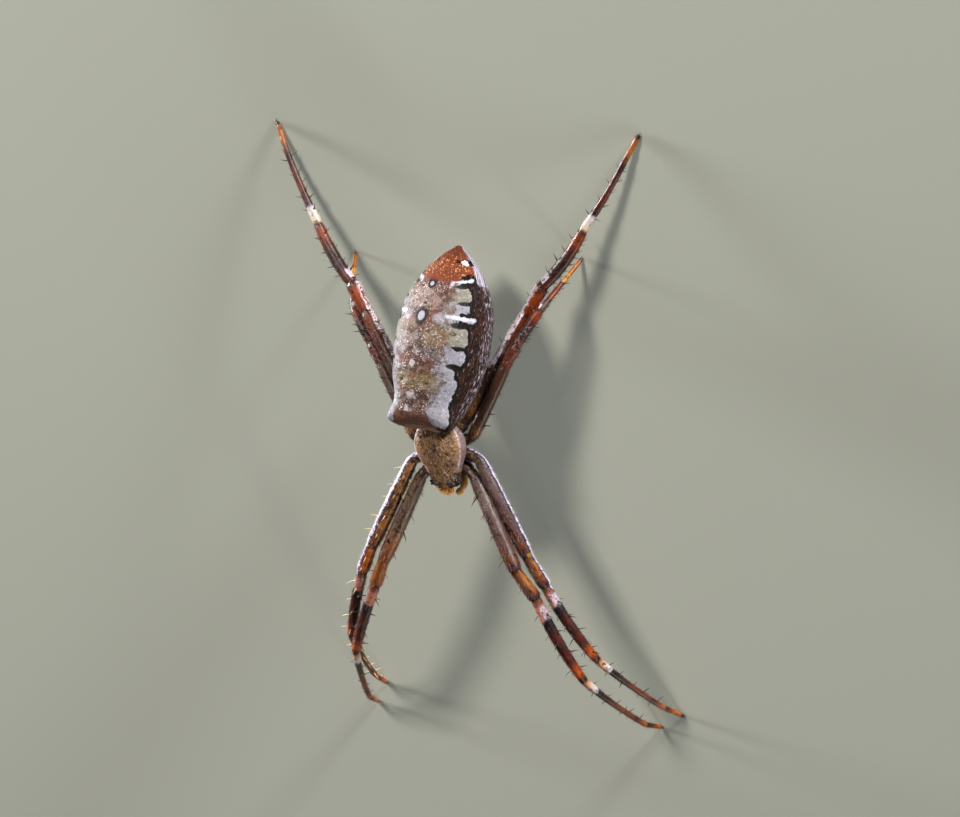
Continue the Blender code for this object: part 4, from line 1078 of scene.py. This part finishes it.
def leg_colours(tree):
    """The bands along a leg, with spots, streaks and painted highlights, and what is special to each pair and
    side.
    """
    stage, dorsal, ahead = (field(tree, label) for label in ("stage", "turn_cos", "turn_sin"))
    pair, right = field(tree, "pair"), field(tree, "right")
    middle, fine = mottling(tree, 2.4), mottling(tree, 8.0, seed=2.0)
    moved = ragged(stage, middle, 0.07)
    upper = add(tree, "ShaderNodeMapRange", {"Value": moved, "From Max": 3.0})
    lower = add(tree, "ShaderNodeMapRange", {"Value": moved, "From Min": 3.0, "From Max": 6.0})
    front = painted(ramp(FRONT_LEG_UPPER, upper), ramp(FRONT_LEG_LOWER, lower), stage, 2.995, 3.005)
    hind = painted(ramp(HIND_LEG_UPPER, upper), ramp(HIND_LEG_LOWER, lower), stage, 2.995, 3.005)
    first, second, third, fourth = (window(pair, low, high, 0.1)
                                    for low, high in ((-1.0, 1.4), (1.6, 2.4), (2.6, 3.4), (3.6, 4.4)))
    front_pairs, left = window(pair, -1.0, 2.4, 0.1), window(right, -1.0, 0.5, 0.1)
    thigh = window(moved, 1.06, 1.72, 0.10)
    backlit_gold = times(right, thigh, second)
    warm = times(right, front_pairs, middle, window(moved, 1.74, 2.92, 0.25))
    clouds = times(left, front_pairs, mottling(tree, 2.8, 3.0, seed=73.0), window(stage, 1.02, 1.98, 0.05))
    ochre = times(mottling(tree, 3.0, 3.0, seed=79.0), window(moved, -1.0, 1.02, 0.06))
    streak = add(tree, "ShaderNodeCombineXYZ", times(stage, 3.0), times(dorsal, 3.0), times(ahead, 3.0))
    streak = mottling(tree, 1.0, 3.0, 0.6, streak, seed=5.0)
    granular_highlight = times(mottling(tree, 10.0, 1.5, seed=9.0), window(dorsal, 0.80, 2.0, 0.5),
                     window(stage, 0.7, 1.85, 0.15))
    specks = times(mottling(tree, 3.4, 0.5, 0.5, seed=71.0), window(stage, 1.05, 1.95, 0.05), front_pairs)
    knee = times(window(dorsal, 0.80, 2.0, 0.15), window(stage, 2.1, 2.9, 0.08), front_pairs, left)
    # How far round from the back, for the painted highlights along the second and fourth pairs: they differ
    # by side.
    turned = add(tree, "ShaderNodeMath", right, fourth, operation="SUBTRACT")
    lifted = sloped(add(tree, "ShaderNodeMath", turned, operation="ABSOLUTE"), -0.86, dorsal)
    lifted = ragged(ragged(lifted, fine, 0.9), middle, 0.8)
    outer = window(ahead, -2.0, -0.10, 0.1)
    edge = times(second, outer, window(stage, 0.45, 3.02, 0.06))
    edge_highlight = painted("#CFC9DA", "#5E4E6C", mottling(tree, 9.0, 2.0, seed=61.0), 0.50, 0.60, 0.8)
    spot = times(second, left, window(stage, 1.98, 2.02, 0.015), window(ahead, -2.0, -0.50, 0.1),
                 window(dorsal, -0.1, 0.75, 0.1))
    inside_highlight = times(fourth, outer, window(sloped(right, -0.42, lifted), -1.9, 0.06, 0.16),
                  window(stage, 1.50, 2.92, 0.10))
    shin_glint = times(fourth, outer, window(moved, 3.06, 3.19, 0.03), window(lifted, -1.6, 0.50, 0.2))
    inner = times(window(ahead, -2.0, -0.45, 0.25), window(dorsal, 0.0, 2.0, 0.2))
    inner_dab = times(third, inner, window(moved, 4.03, 4.12, 0.02))
    band = times(window(moved, 3.08, 3.225, 0.02), front_pairs)
    feet = times(window(moved, 4.03, 4.15, 0.02), front_pairs, left)
    under = times(window(ahead, -0.05, 2.0, 0.5), add(tree, "ShaderNodeMath", band, feet, operation="ADD"))
    return layered(
        painted(front, hind, pair, 2.4, 2.6),
        # A golden right second thigh, painted glow of light through it from behind; a greyer first one, and
        # warm ends to both.
        ("#B87C36", backlit_gold, 0.2, 0.9, 0.9),
        ("#5E2410", times(backlit_gold, mottling(tree, 3.0, seed=12.0)), 0.50, 0.58, 0.9),
        ("#6E5540", times(right, thigh, front_pairs, first), 0.2, 0.9, 0.8),
        ("#8A4A1A", warm, 0.28, 0.60, 0.8),
        ("#BC600F", times(right, second, middle, window(moved, 2.04, 2.90, 0.05)), 0.38, 0.50, 0.85),
        # Purple clouds on the left front thighs, and dark coxae with ochre patches.
        ("#4A3644", clouds, 0.48, 0.60, 0.6),
        ("#33231C", window(moved, -1.0, 0.92, 0.06), 0.2, 0.8, 0.7),
        ("#84541E", ochre, 0.52, 0.60, 0.8),
        # Streaks along the leg, a painted granular highlight along the back of the thighs, dark dots on the
        # thighs and plum tops to the knees.
        ("#2A1814", times(streak, window(stage, 0.3, 2.0, 0.1)), 0.50, 0.62, 0.7),
        ("#2A110A", times(streak, window(stage, 2.0, 6.0, 0.1)), 0.54, 0.66, 0.5),
        ("#A3969A", granular_highlight, 0.59, 0.68, 0.6),
        ("#150C0C", specks, 0.66, 0.69, 0.9),
        ("#4E3434", times(knee, middle), 0.32, 0.50, 0.75),
        # The second pair has a painted granular highlight down its outer side, bounded by a painted purple
        # sheen, and a yellow spot.
        ("#2E2142", times(edge, window(lifted, -1.6, 0.24, 0.16)), 0.2, 0.8, 0.8),
        (edge_highlight, times(edge, window(lifted, -1.6, -0.02, 0.07)), 0.2, 0.8, 0.95),
        ("#8A7428", spot, 0.3, 0.8, 0.8),
        # The third pair is browner, its shin flecked, its foot yellow at the joint.
        ("#3A2419", times(third, window(moved, 1.20, 1.98, 0.03)), 0.2, 0.8, 0.9),
        ("#4C2016", times(third, window(moved, 2.02, 2.90, 0.05)), 0.2, 0.8, 0.85),
        ("#9A868C", times(third, fine, window(stage, 2.1, 3.6, 0.10)), 0.56, 0.63, 0.7),
        ("#3E201C", times(third, window(moved, 4.02, 4.30, 0.06)), 0.2, 0.8, 0.95),
        ("#7A3414", times(third, window(moved, 4.36, 4.72, 0.06)), 0.2, 0.8, 0.7),
        ("#B87C26", times(third, window(moved, 4.84, 5.08, 0.06)), 0.2, 0.8, 0.95),
        # The fourth pair has a painted highlight along its inside and a painted glint where its shin starts;
        # a white dab starts the third pair's foot.
        ("#CFC4CE", times(inside_highlight, fine, sloped(right, -0.20, 1.0)), 0.34, 0.46, 0.9),
        ("#B9AFC0", shin_glint, 0.3, 0.8, 0.95),
        ("#D8CEDA", inner_dab, 0.3, 0.8, 0.95),
        # The pale bands of the front pairs are mauve on the right and salmon along their inner side.
        ("#765A62", times(band, right), 0.1, 0.9, 0.60),
        ("#6A4A56", times(band, mottling(tree, 4.0, seed=83.0)), 0.48, 0.58, 0.6),
        ("#A8644A", under, 0.1, 0.9, 0.85),
        ("#1C0D0B", mottling(tree, 3.4, seed=6.0), 0.57, 0.62, 0.8),
        ("#120806", field(tree, "joint"), 0.80, 1.0, 0.6),
    )


# Hard tubular cuticle over pigment: satin, with a fine grain under the down.
leg_cuticle, tree, shader = new_material("leg_cuticle", Roughness=0.30, Specular_IOR_Level=0.34)
surface(shader, leg_colours(tree), mottling(tree, 9.0, 4.0), 0.7, 0.05)
legs = {}
for strip, (side, pair) in enumerate(STANCE):
    legs[side, pair] = make_leg(side, pair, strip)
    nodes = ["leg_{}_{}_{}".format(side, pair, part) for part in LEG_NODES]
    fit(legs[side, pair][0], leg_cuticle, "leg", *nodes)


# ==================================================================== claws
# Three hooked claws at the end of each foot, polished dark cuticle: a pair above and a small one between.
# Each is rooted in the foot's tip and curves down to the floor.

CLAWS = ((0.06, 0.24, 0.026), (-0.06, 0.24, 0.026), (0.0, 0.15, 0.020))  # sideways, length and radius
CLAW_TIP, CLAW_FLOOR = 0.02, 0.015  # height of a claw's end, and the least height along it

claw_pieces = []
for _, path, _, _ in legs.values():
    ahead = path[-1] - path[-6]
    ahead /= np.linalg.norm(ahead)
    level = ahead * [1, 1, 0] / np.linalg.norm(ahead[:2])
    across = np.cross(level, [0, 0, 1])
    steps = np.linspace(0, 1, 8)
    for sideways, length, radius in CLAWS:
        reach = ahead * length * 0.35 + level * length * 0.65
        course = path[-1] + across * sideways + reach * steps[:, None]
        course[:, 2] -= max(course[-1, 2] - CLAW_TIP, 0.0) * steps**2.2
        course[:, 2] = np.maximum(course[:, 2], CLAW_FLOOR)
        rings, _ = lofted_tube(course, radius * (1 - 0.8 * steps), 8)
        rings[..., 2] = np.maximum(rings[..., 2], 0.0)
        claw_pieces.append(closed_skin("claw", rings, {}))
fit(joined("claws", claw_pieces), fang_cuticle, "leg")


# ==================================================================== spines, bristles and down
# Stiff dark spines stand in rows on the legs; finer bristles and short pale down cover legs, shield, palps
# and sac. Each is a tapered hollow hair in its own socket, here a thin three-sided spike rooted in the skin.

BRISTLE_INPUTS = (("Scatter", "Bool", False), ("Density", "Float", 1.0), ("Length", "Float", 0.001),
                  ("Slenderness", "Float", 0.05), ("Bend", "Float", 0.2), ("Untidiness", "Float", 0.2),
                  ("Strips", "Float", 8.0), ("Patch", "Float", 0.003), ("Seed", "Int", 1),
                  ("Finish", "Material", None))


def bristle_tree():
    """A node tree that stands bristles on a skin's faces or on a mesh's points, and lays out their UVs."""
    tree = bpy.data.node_groups.new("bristles", "GeometryNodeTree")
    tree.interface.new_socket("Geometry", in_out="INPUT", socket_type="NodeSocketGeometry")
    for label, kind, value in BRISTLE_INPUTS:
        made = tree.interface.new_socket(label, in_out="INPUT", socket_type="NodeSocket" + kind)
        if value is not None:
            made.default_value = value
    tree.interface.new_socket("Geometry", in_out="OUTPUT", socket_type="NodeSocketGeometry")
    given = add(tree, "NodeGroupInput").outputs
    cover, tall, strip, reach, turn_sin, turn_cos = (
        add(tree, "GeometryNodeInputNamedAttribute", label, data_type="FLOAT")
        for label in ("cover", "tall", "strip", "reach", "turn_sin", "turn_cos"))
    lie, away, own_place = (add(tree, "GeometryNodeInputNamedAttribute", label, data_type="FLOAT_VECTOR")
                            for label in ("lie", "away", "own_place"))
    # Where bristles stand: scattered over the faces, or one on each point.
    density = add(tree, "ShaderNodeMath", given["Density"], cover, operation="MULTIPLY")
    scattered = add(tree, "GeometryNodeDistributePointsOnFaces",
                    {"Mesh": given["Geometry"], "Density": density, "Seed": given["Seed"]})
    dotted = add(tree, "GeometryNodeMeshToPoints", {"Mesh": given["Geometry"]})
    points = add(tree, "GeometryNodeSwitch", {"Switch": given["Scatter"], "False": dotted, "True": scattered},
                 input_type="GEOMETRY")
    # One spike: a bent line with a tapering three-sided section.
    bend = add(tree, "ShaderNodeMath", given["Bend"], -1.0, operation="MULTIPLY")
    tip = add(tree, "ShaderNodeCombineXYZ", {"X": bend, "Z": 1.0})
    curve = add(tree, "GeometryNodeCurvePrimitiveBezierSegment",
                {"Resolution": 3, "Start": (0, 0, 0), "Start Handle": (0, 0, 0.35), "End Handle": (0, 0, 0.7),
                 "End": tip})
    taper = add(tree, "ShaderNodeMapRange", {"Value": add(tree, "GeometryNodeSplineParameter"), "To Min": 1.0,
                                            "To Max": 0.12})
    thick = add(tree, "ShaderNodeMath", given["Slenderness"], taper, operation="MULTIPLY")
    spine = add(tree, "GeometryNodeSetCurveRadius", {"Curve": curve, "Radius": 1.0})
    profile = add(tree, "GeometryNodeCurvePrimitiveCircle", {"Resolution": 3, "Radius": 1.0})
    spike = add(tree, "GeometryNodeCurveToMesh", {"Curve": spine, "Profile Curve": profile, "Scale": thick})
    place = add(tree, "ShaderNodeSeparateXYZ", add(tree, "GeometryNodeInputPosition")).outputs
    aside = add(tree, "ShaderNodeMath", place["Y"], 4.0, operation="MULTIPLY")
    own = add(tree, "ShaderNodeCombineXYZ", place["Z"], aside)
    kept = {"Geometry": spike, "Name": "own_place", "Value": own}
    spike = add(tree, "GeometryNodeStoreNamedAttribute", kept, data_type="FLOAT_VECTOR", domain="POINT")
    # Each leans the way its skin says, a little astray, with its own length.
    stray = add(tree, "FunctionNodeRandomValue", {0: (-1, -1, -1), 1: (1, 1, 1), "Seed": given["Seed"]},
                data_type="FLOAT_VECTOR")
    stray = add(tree, "ShaderNodeVectorMath", {0: stray, "Scale": given["Untidiness"]}, operation="SCALE")
    aim = add(tree, "ShaderNodeVectorMath", lie, stray, operation="ADD")
    turn = add(tree, "FunctionNodeAxesToRotation", {"Primary Axis": aim, "Secondary Axis": away},
               primary_axis="Z", secondary_axis="X")
    vary = add(tree, "FunctionNodeRandomValue", {2: 0.6, 3: 1.2, "Seed": given["Seed"]}, data_type="FLOAT")
    length = add(tree, "ShaderNodeMath", given["Length"], vary.outputs[1], operation="MULTIPLY")
    length = add(tree, "ShaderNodeMath", length, tall, operation="MULTIPLY")
    grown = add(tree, "GeometryNodeInstanceOnPoints", {"Points": points, "Instance": spike, "Rotation": turn,
                                                        "Scale": length})
    grown = add(tree, "GeometryNodeRealizeInstances", {"Geometry": grown})
    # None goes below the floor.
    at = add(tree, "ShaderNodeSeparateXYZ", add(tree, "GeometryNodeInputPosition")).outputs
    height = add(tree, "ShaderNodeMath", at["Z"], 0.0, operation="MAXIMUM")
    at = add(tree, "ShaderNodeCombineXYZ", at["X"], at["Y"], height)
    grown = add(tree, "GeometryNodeSetPosition", {"Geometry": grown, "Position": at})
    # Its UVs lie in a small patch where its root is on the skin.
    u = add(tree, "ShaderNodeMath", turn_sin, turn_cos, operation="ARCTAN2")
    u = add(tree, "ShaderNodeMath", u, 0.5 / math.pi, 0.5, operation="MULTIPLY_ADD")
    u = add(tree, "ShaderNodeMath", u, strip, operation="ADD")
    u = add(tree, "ShaderNodeMath", u, given["Strips"], operation="DIVIDE")
    root = add(tree, "ShaderNodeCombineXYZ", u, reach)
    patch = add(tree, "ShaderNodeVectorMath", {0: own_place, "Scale": given["Patch"]}, operation="SCALE")
    uv = add(tree, "ShaderNodeVectorMath", root, patch, operation="ADD")
    grown = add(tree, "GeometryNodeStoreNamedAttribute", {"Geometry": grown, "Name": "OFBake", "Value": uv},
                data_type="FLOAT2", domain="CORNER")
    grown = add(tree, "GeometryNodeSetShadeSmooth", {"Geometry": grown})
    grown = add(tree, "GeometryNodeSetMaterial", {"Geometry": grown, "Material": given["Finish"]})
    add(tree, "NodeGroupOutput", grown)
    return tree


bristles = bristle_tree()


def grow(name, base, slot, **settings):
    """Stands bristles on a base mesh and keeps them as a plain mesh piece."""
    for label, value in (("cover", 1.0), ("tall", 1.0), ("strip", 0.0)):
        if label not in base.data.attributes:
            store(base.data, label, np.full(len(base.data.vertices), value))
    modifier = base.modifiers.new("bristles", "NODES")
    modifier.node_group = bristles
    for item in bristles.interface.items_tree:
        if item.in_out == "INPUT" and item.name in settings:
            modifier[item.identifier] = settings[item.name]
    graph = bpy.context.evaluated_depsgraph_get()
    grown = base.evaluated_get(graph)
    mesh = bpy.data.meshes.new_from_object(grown, preserve_all_data_layers=True, depsgraph=graph)
    base.modifiers.remove(modifier)
    thing = put_in_scene(name, mesh)
    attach(thing, "root")


# Rows of spines by stage: where round the leg in degrees from its back, how many, and how long.
SPINE_ROWS = {
    1: ((12, 4, 0.50), (80, 4, 0.70), (-80, 5, 0.52)),
    2: ((0, 2, 0.52), (85, 1, 0.42), (-85, 1, 0.42)),
    3: ((8, 3, 0.52), (75, 4, 0.58), (-75, 4, 0.58), (150, 4, 0.62), (-150, 4, 0.62)),
    4: ((70, 4, 0.48), (-70, 4, 0.48), (150, 5, 0.52), (-150, 5, 0.52)),
    5: ((150, 3, 0.20), (-150, 3, 0.20)),
}
SPINE_ROOT, SPINE_LEAN = 0.9, 0.45  # share of the leg's radius it is rooted at, and its lean to the foot
NEAR_FLOOR = 0.05  # a spine that would end lower is shortened
SHORTENED, THIRD_PAIR = 0.4, 0.8  # shares of a spine's length: near the floor, and on the third pair
spine_roots = {label: [] for label in ("place", "lie", "away", "tall", "strip", "reach", "turn_cos",
                                       "turn_sin", "pair", "right")}
shuffle = np.random.default_rng(7)
for strip, ((side, pair), (_, path, stage, radii)) in enumerate(legs.items()):
    ahead = np.gradient(path, axis=0)
    ahead /= np.linalg.norm(ahead, axis=1, keepdims=True)
    for part, degrees, count, length in ((part, *row) for part, rows in SPINE_ROWS.items() for row in rows):
        for i in range(count):
            at = part + (i + 0.75 + shuffle.uniform(-0.15, 0.15)) / (count + 0.5)
            k = int(np.searchsorted(stage, min(at, part + 0.95)))
            up = np.array([0, 0, 1]) - ahead[k] * ahead[k][2]
            up /= np.linalg.norm(up)
            front = np.cross(ahead[k], up) * SIDE[side]
            turn = math.radians(degrees + shuffle.uniform(-8, 8))
            out = up * math.cos(turn) + front * math.sin(turn)
            root = path[k] + out * radii[k] * SPINE_ROOT
            aim = out + ahead[k] * SPINE_LEAN
            size = length * (THIRD_PAIR if pair == 3 else 1.0)
            if (root + aim / np.linalg.norm(aim) * size)[2] < NEAR_FLOOR:
                size *= SHORTENED
            values = (root * MM, aim, out, size, strip, stage[k] / 6, math.cos(turn), math.sin(turn), pair,
                      float(side == "right"))
            for label, value in zip(spine_roots, values):
                spine_roots[label].append(value)
dots = bpy.data.meshes.new("spine_roots")
dots.from_pydata([tuple(point) for point in spine_roots.pop("place")], [], [])
for label, values in spine_roots.items():
    store(dots, label, np.array(values, float))
spine_base = put_in_scene("spine_roots", dots)

# Solid dark spines with paler tips, golden on the right second leg: painted glow of light from behind.
spine_horn, tree, shader = new_material("spine_cuticle", Roughness=0.35)
own_place = add(tree, "ShaderNodeAttribute", attribute_name="own_place").outputs["Vector"]
along = add(tree, "ShaderNodeSeparateXYZ", own_place)
backlit_gold = times(field(tree, "right"), window(field(tree, "pair"), 1.6, 2.4, 0.1))
surface(shader, layered(
    "#1A0E0A",
    ("#3E2416", mottling(tree, 2.0), 0.4, 0.7),
    ("#E8D4A4", backlit_gold, 0.2, 0.8, 0.95),
    ("#A9804A", along.outputs["X"], 0.70, 1.0, 0.8),
))
grow("leg_spines", spine_base, "leg", Scatter=False, Length=MM, Slenderness=0.088, Bend=0.12, Untidiness=0.12,
     Strips=8.0, Seed=3, Finish=spine_horn)
bpy.data.objects.remove(spine_base)

# Down takes the colours of the skin it stands on, a shade paler.
leg_down, tree, shader = new_material("leg_down", Roughness=0.5)
fleck = mottling(tree, 14.0, 1.0, seed=8.0)
surface(shader, painted(leg_colours(tree), "#D8CCC0", fleck, 0.58, 0.64, 0.6))
for (side, pair), (skin, *_) in legs.items():
    grow("leg_{}_{}_down".format(side, pair), skin, "leg", Scatter=True, Density=26 / MM**2, Length=0.27 * MM,
         Slenderness=0.042, Bend=0.25, Untidiness=0.35, Strips=8.0, Seed=10 + pair, Finish=leg_down)

# Silky tan hairs that lie back and towards the middle of the shield.
shield_down, tree, shader = new_material("carapace_down", Roughness=0.45)
fleck = mottling(tree, 6.0, 1.0, seed=8.0)
surface(shader, painted(carapace_colours(tree), "#CBB398", fleck, 0.47, 0.55, 0.8))
grow("carapace_down", carapace, "prosoma", Scatter=True, Density=80 / MM**2, Length=0.46 * MM,
     Slenderness=0.046, Bend=0.20, Untidiness=0.35, Strips=1.0, Seed=21, Finish=shield_down)

# Sparse short hairs that lie back along the sac.
sac_down, tree, shader = new_material("abdomen_down", Roughness=0.45)
fleck = mottling(tree, 14.0, 1.0, seed=8.0)
surface(shader, painted(abdomen_colours(tree), "#CFC4BE", fleck, 0.54, 0.60, 0.6))
grow("abdomen_down", abdomen_skin, "abdomen", Scatter=True, Density=14 / MM**2, Length=0.20 * MM,
     Slenderness=0.040, Bend=0.25, Untidiness=0.3, Strips=1.0, Seed=31, Finish=sac_down)

# Stiff amber hairs, clear enough to look golden.
palp_down, tree, shader = new_material("palp_bristles", Roughness=0.4)
surface(shader, painted("#8A4A18", "#F0C070", mottling(tree, 5.0), 0.4, 0.6))
for side, palp in palps.items():
    grow("palp_{}_bristles".format(side), palp, "palp", Scatter=True, Density=12 / MM**2, Length=0.24 * MM,
         Slenderness=0.035, Bend=0.2, Untidiness=0.4, Strips=2.0, Seed=41, Finish=palp_down)


# ==================================================================== studio
# A plain pale floor, soft lamps from the upper left and both sides, and the camera above the spider's left.

TO_CAMERA = np.array([0.501, 0.315, 0.806])
CAMERA_RIGHT = np.array([0.864, -0.135, -0.485])
CAMERA_UP = np.array([-0.044, 0.940, -0.340])
CAMERA_DISTANCE, CAMERA_LENS = 350.0, 210.0
AIM = ROOT - np.array([0.86, -0.27, 0.0])
LAMP_AIM = Vector((0, 0, 6 * MM))
FLOOR_HALF = 1.5  # metres

floor_mesh = bpy.data.meshes.new("floor")
corners = [(x * FLOOR_HALF, y * FLOOR_HALF, 0) for x, y in ((-1, -1), (1, -1), (1, 1), (-1, 1))]
floor_mesh.from_pydata(corners, [], [(0, 1, 2, 3)])
# Plain matt card.
card, _, _ = new_material("floor_card", Base_Color=linear("#A6ABA1"), Roughness=0.9)
floor_mesh.materials.append(card)
put_in_scene("floor", floor_mesh)


def lamp(name, direction, distance, size, watts, colour):
    """A soft square lamp that looks at the spider from a direction."""
    light = bpy.data.lights.new(name, "AREA")
    light.size, light.energy, light.color = size * MM, watts, linear(colour)[:3]
    thing = put_in_scene(name, light)
    towards = Vector(direction).normalized()
    thing.location = towards * distance * MM + LAMP_AIM
    thing.rotation_euler = towards.to_track_quat("Z", "Y").to_euler()


key = -0.55 * CAMERA_RIGHT + 0.65 * CAMERA_UP + 0.45 * TO_CAMERA + [0, 0, 0.35]
lamp("key_lamp", key, 400, 80, 1.30, "#FFF6EA")
lamp("fill_lamp", 0.7 * CAMERA_RIGHT - 0.2 * CAMERA_UP + 0.9 * TO_CAMERA, 450, 300, 0.14, "#EEF3FF")
lamp("face_lamp", (0.65, -1.0, 0.30), 350, 60, 0.45, "#FFFDF6")
lamp("left_rim_lamp", (-1.0, 0.28, 0.04), 350, 60, 3.2, "#FFFFFF")
lamp("right_rim_lamp", (0.85, 0.85, 0.05), 350, 60, 2.6, "#FFFFFF")

world = bpy.data.worlds.new("studio")
world.use_nodes = True
world.node_tree.nodes["Background"].inputs["Color"].default_value = linear("#DDE2E4")
world.node_tree.nodes["Background"].inputs["Strength"].default_value = 0.06
bpy.context.scene.world = world
bpy.context.scene.view_settings.view_transform = "Standard"

camera_data = bpy.data.cameras.new("camera")
camera_data.lens, camera_data.sensor_width = CAMERA_LENS, 36.0
camera_data.clip_start, camera_data.clip_end = 0.01, 10.0
camera = put_in_scene("camera", camera_data)
back = Vector(TO_CAMERA).normalized()
up = back.cross(Vector(CAMERA_RIGHT).normalized()).normalized()
right = up.cross(back)
camera.matrix_world = Matrix.Translation((Vector(AIM) + back * CAMERA_DISTANCE) * MM) @ Matrix(
    (right, up, back)).transposed().to_4x4()
bpy.context.scene.camera = camera
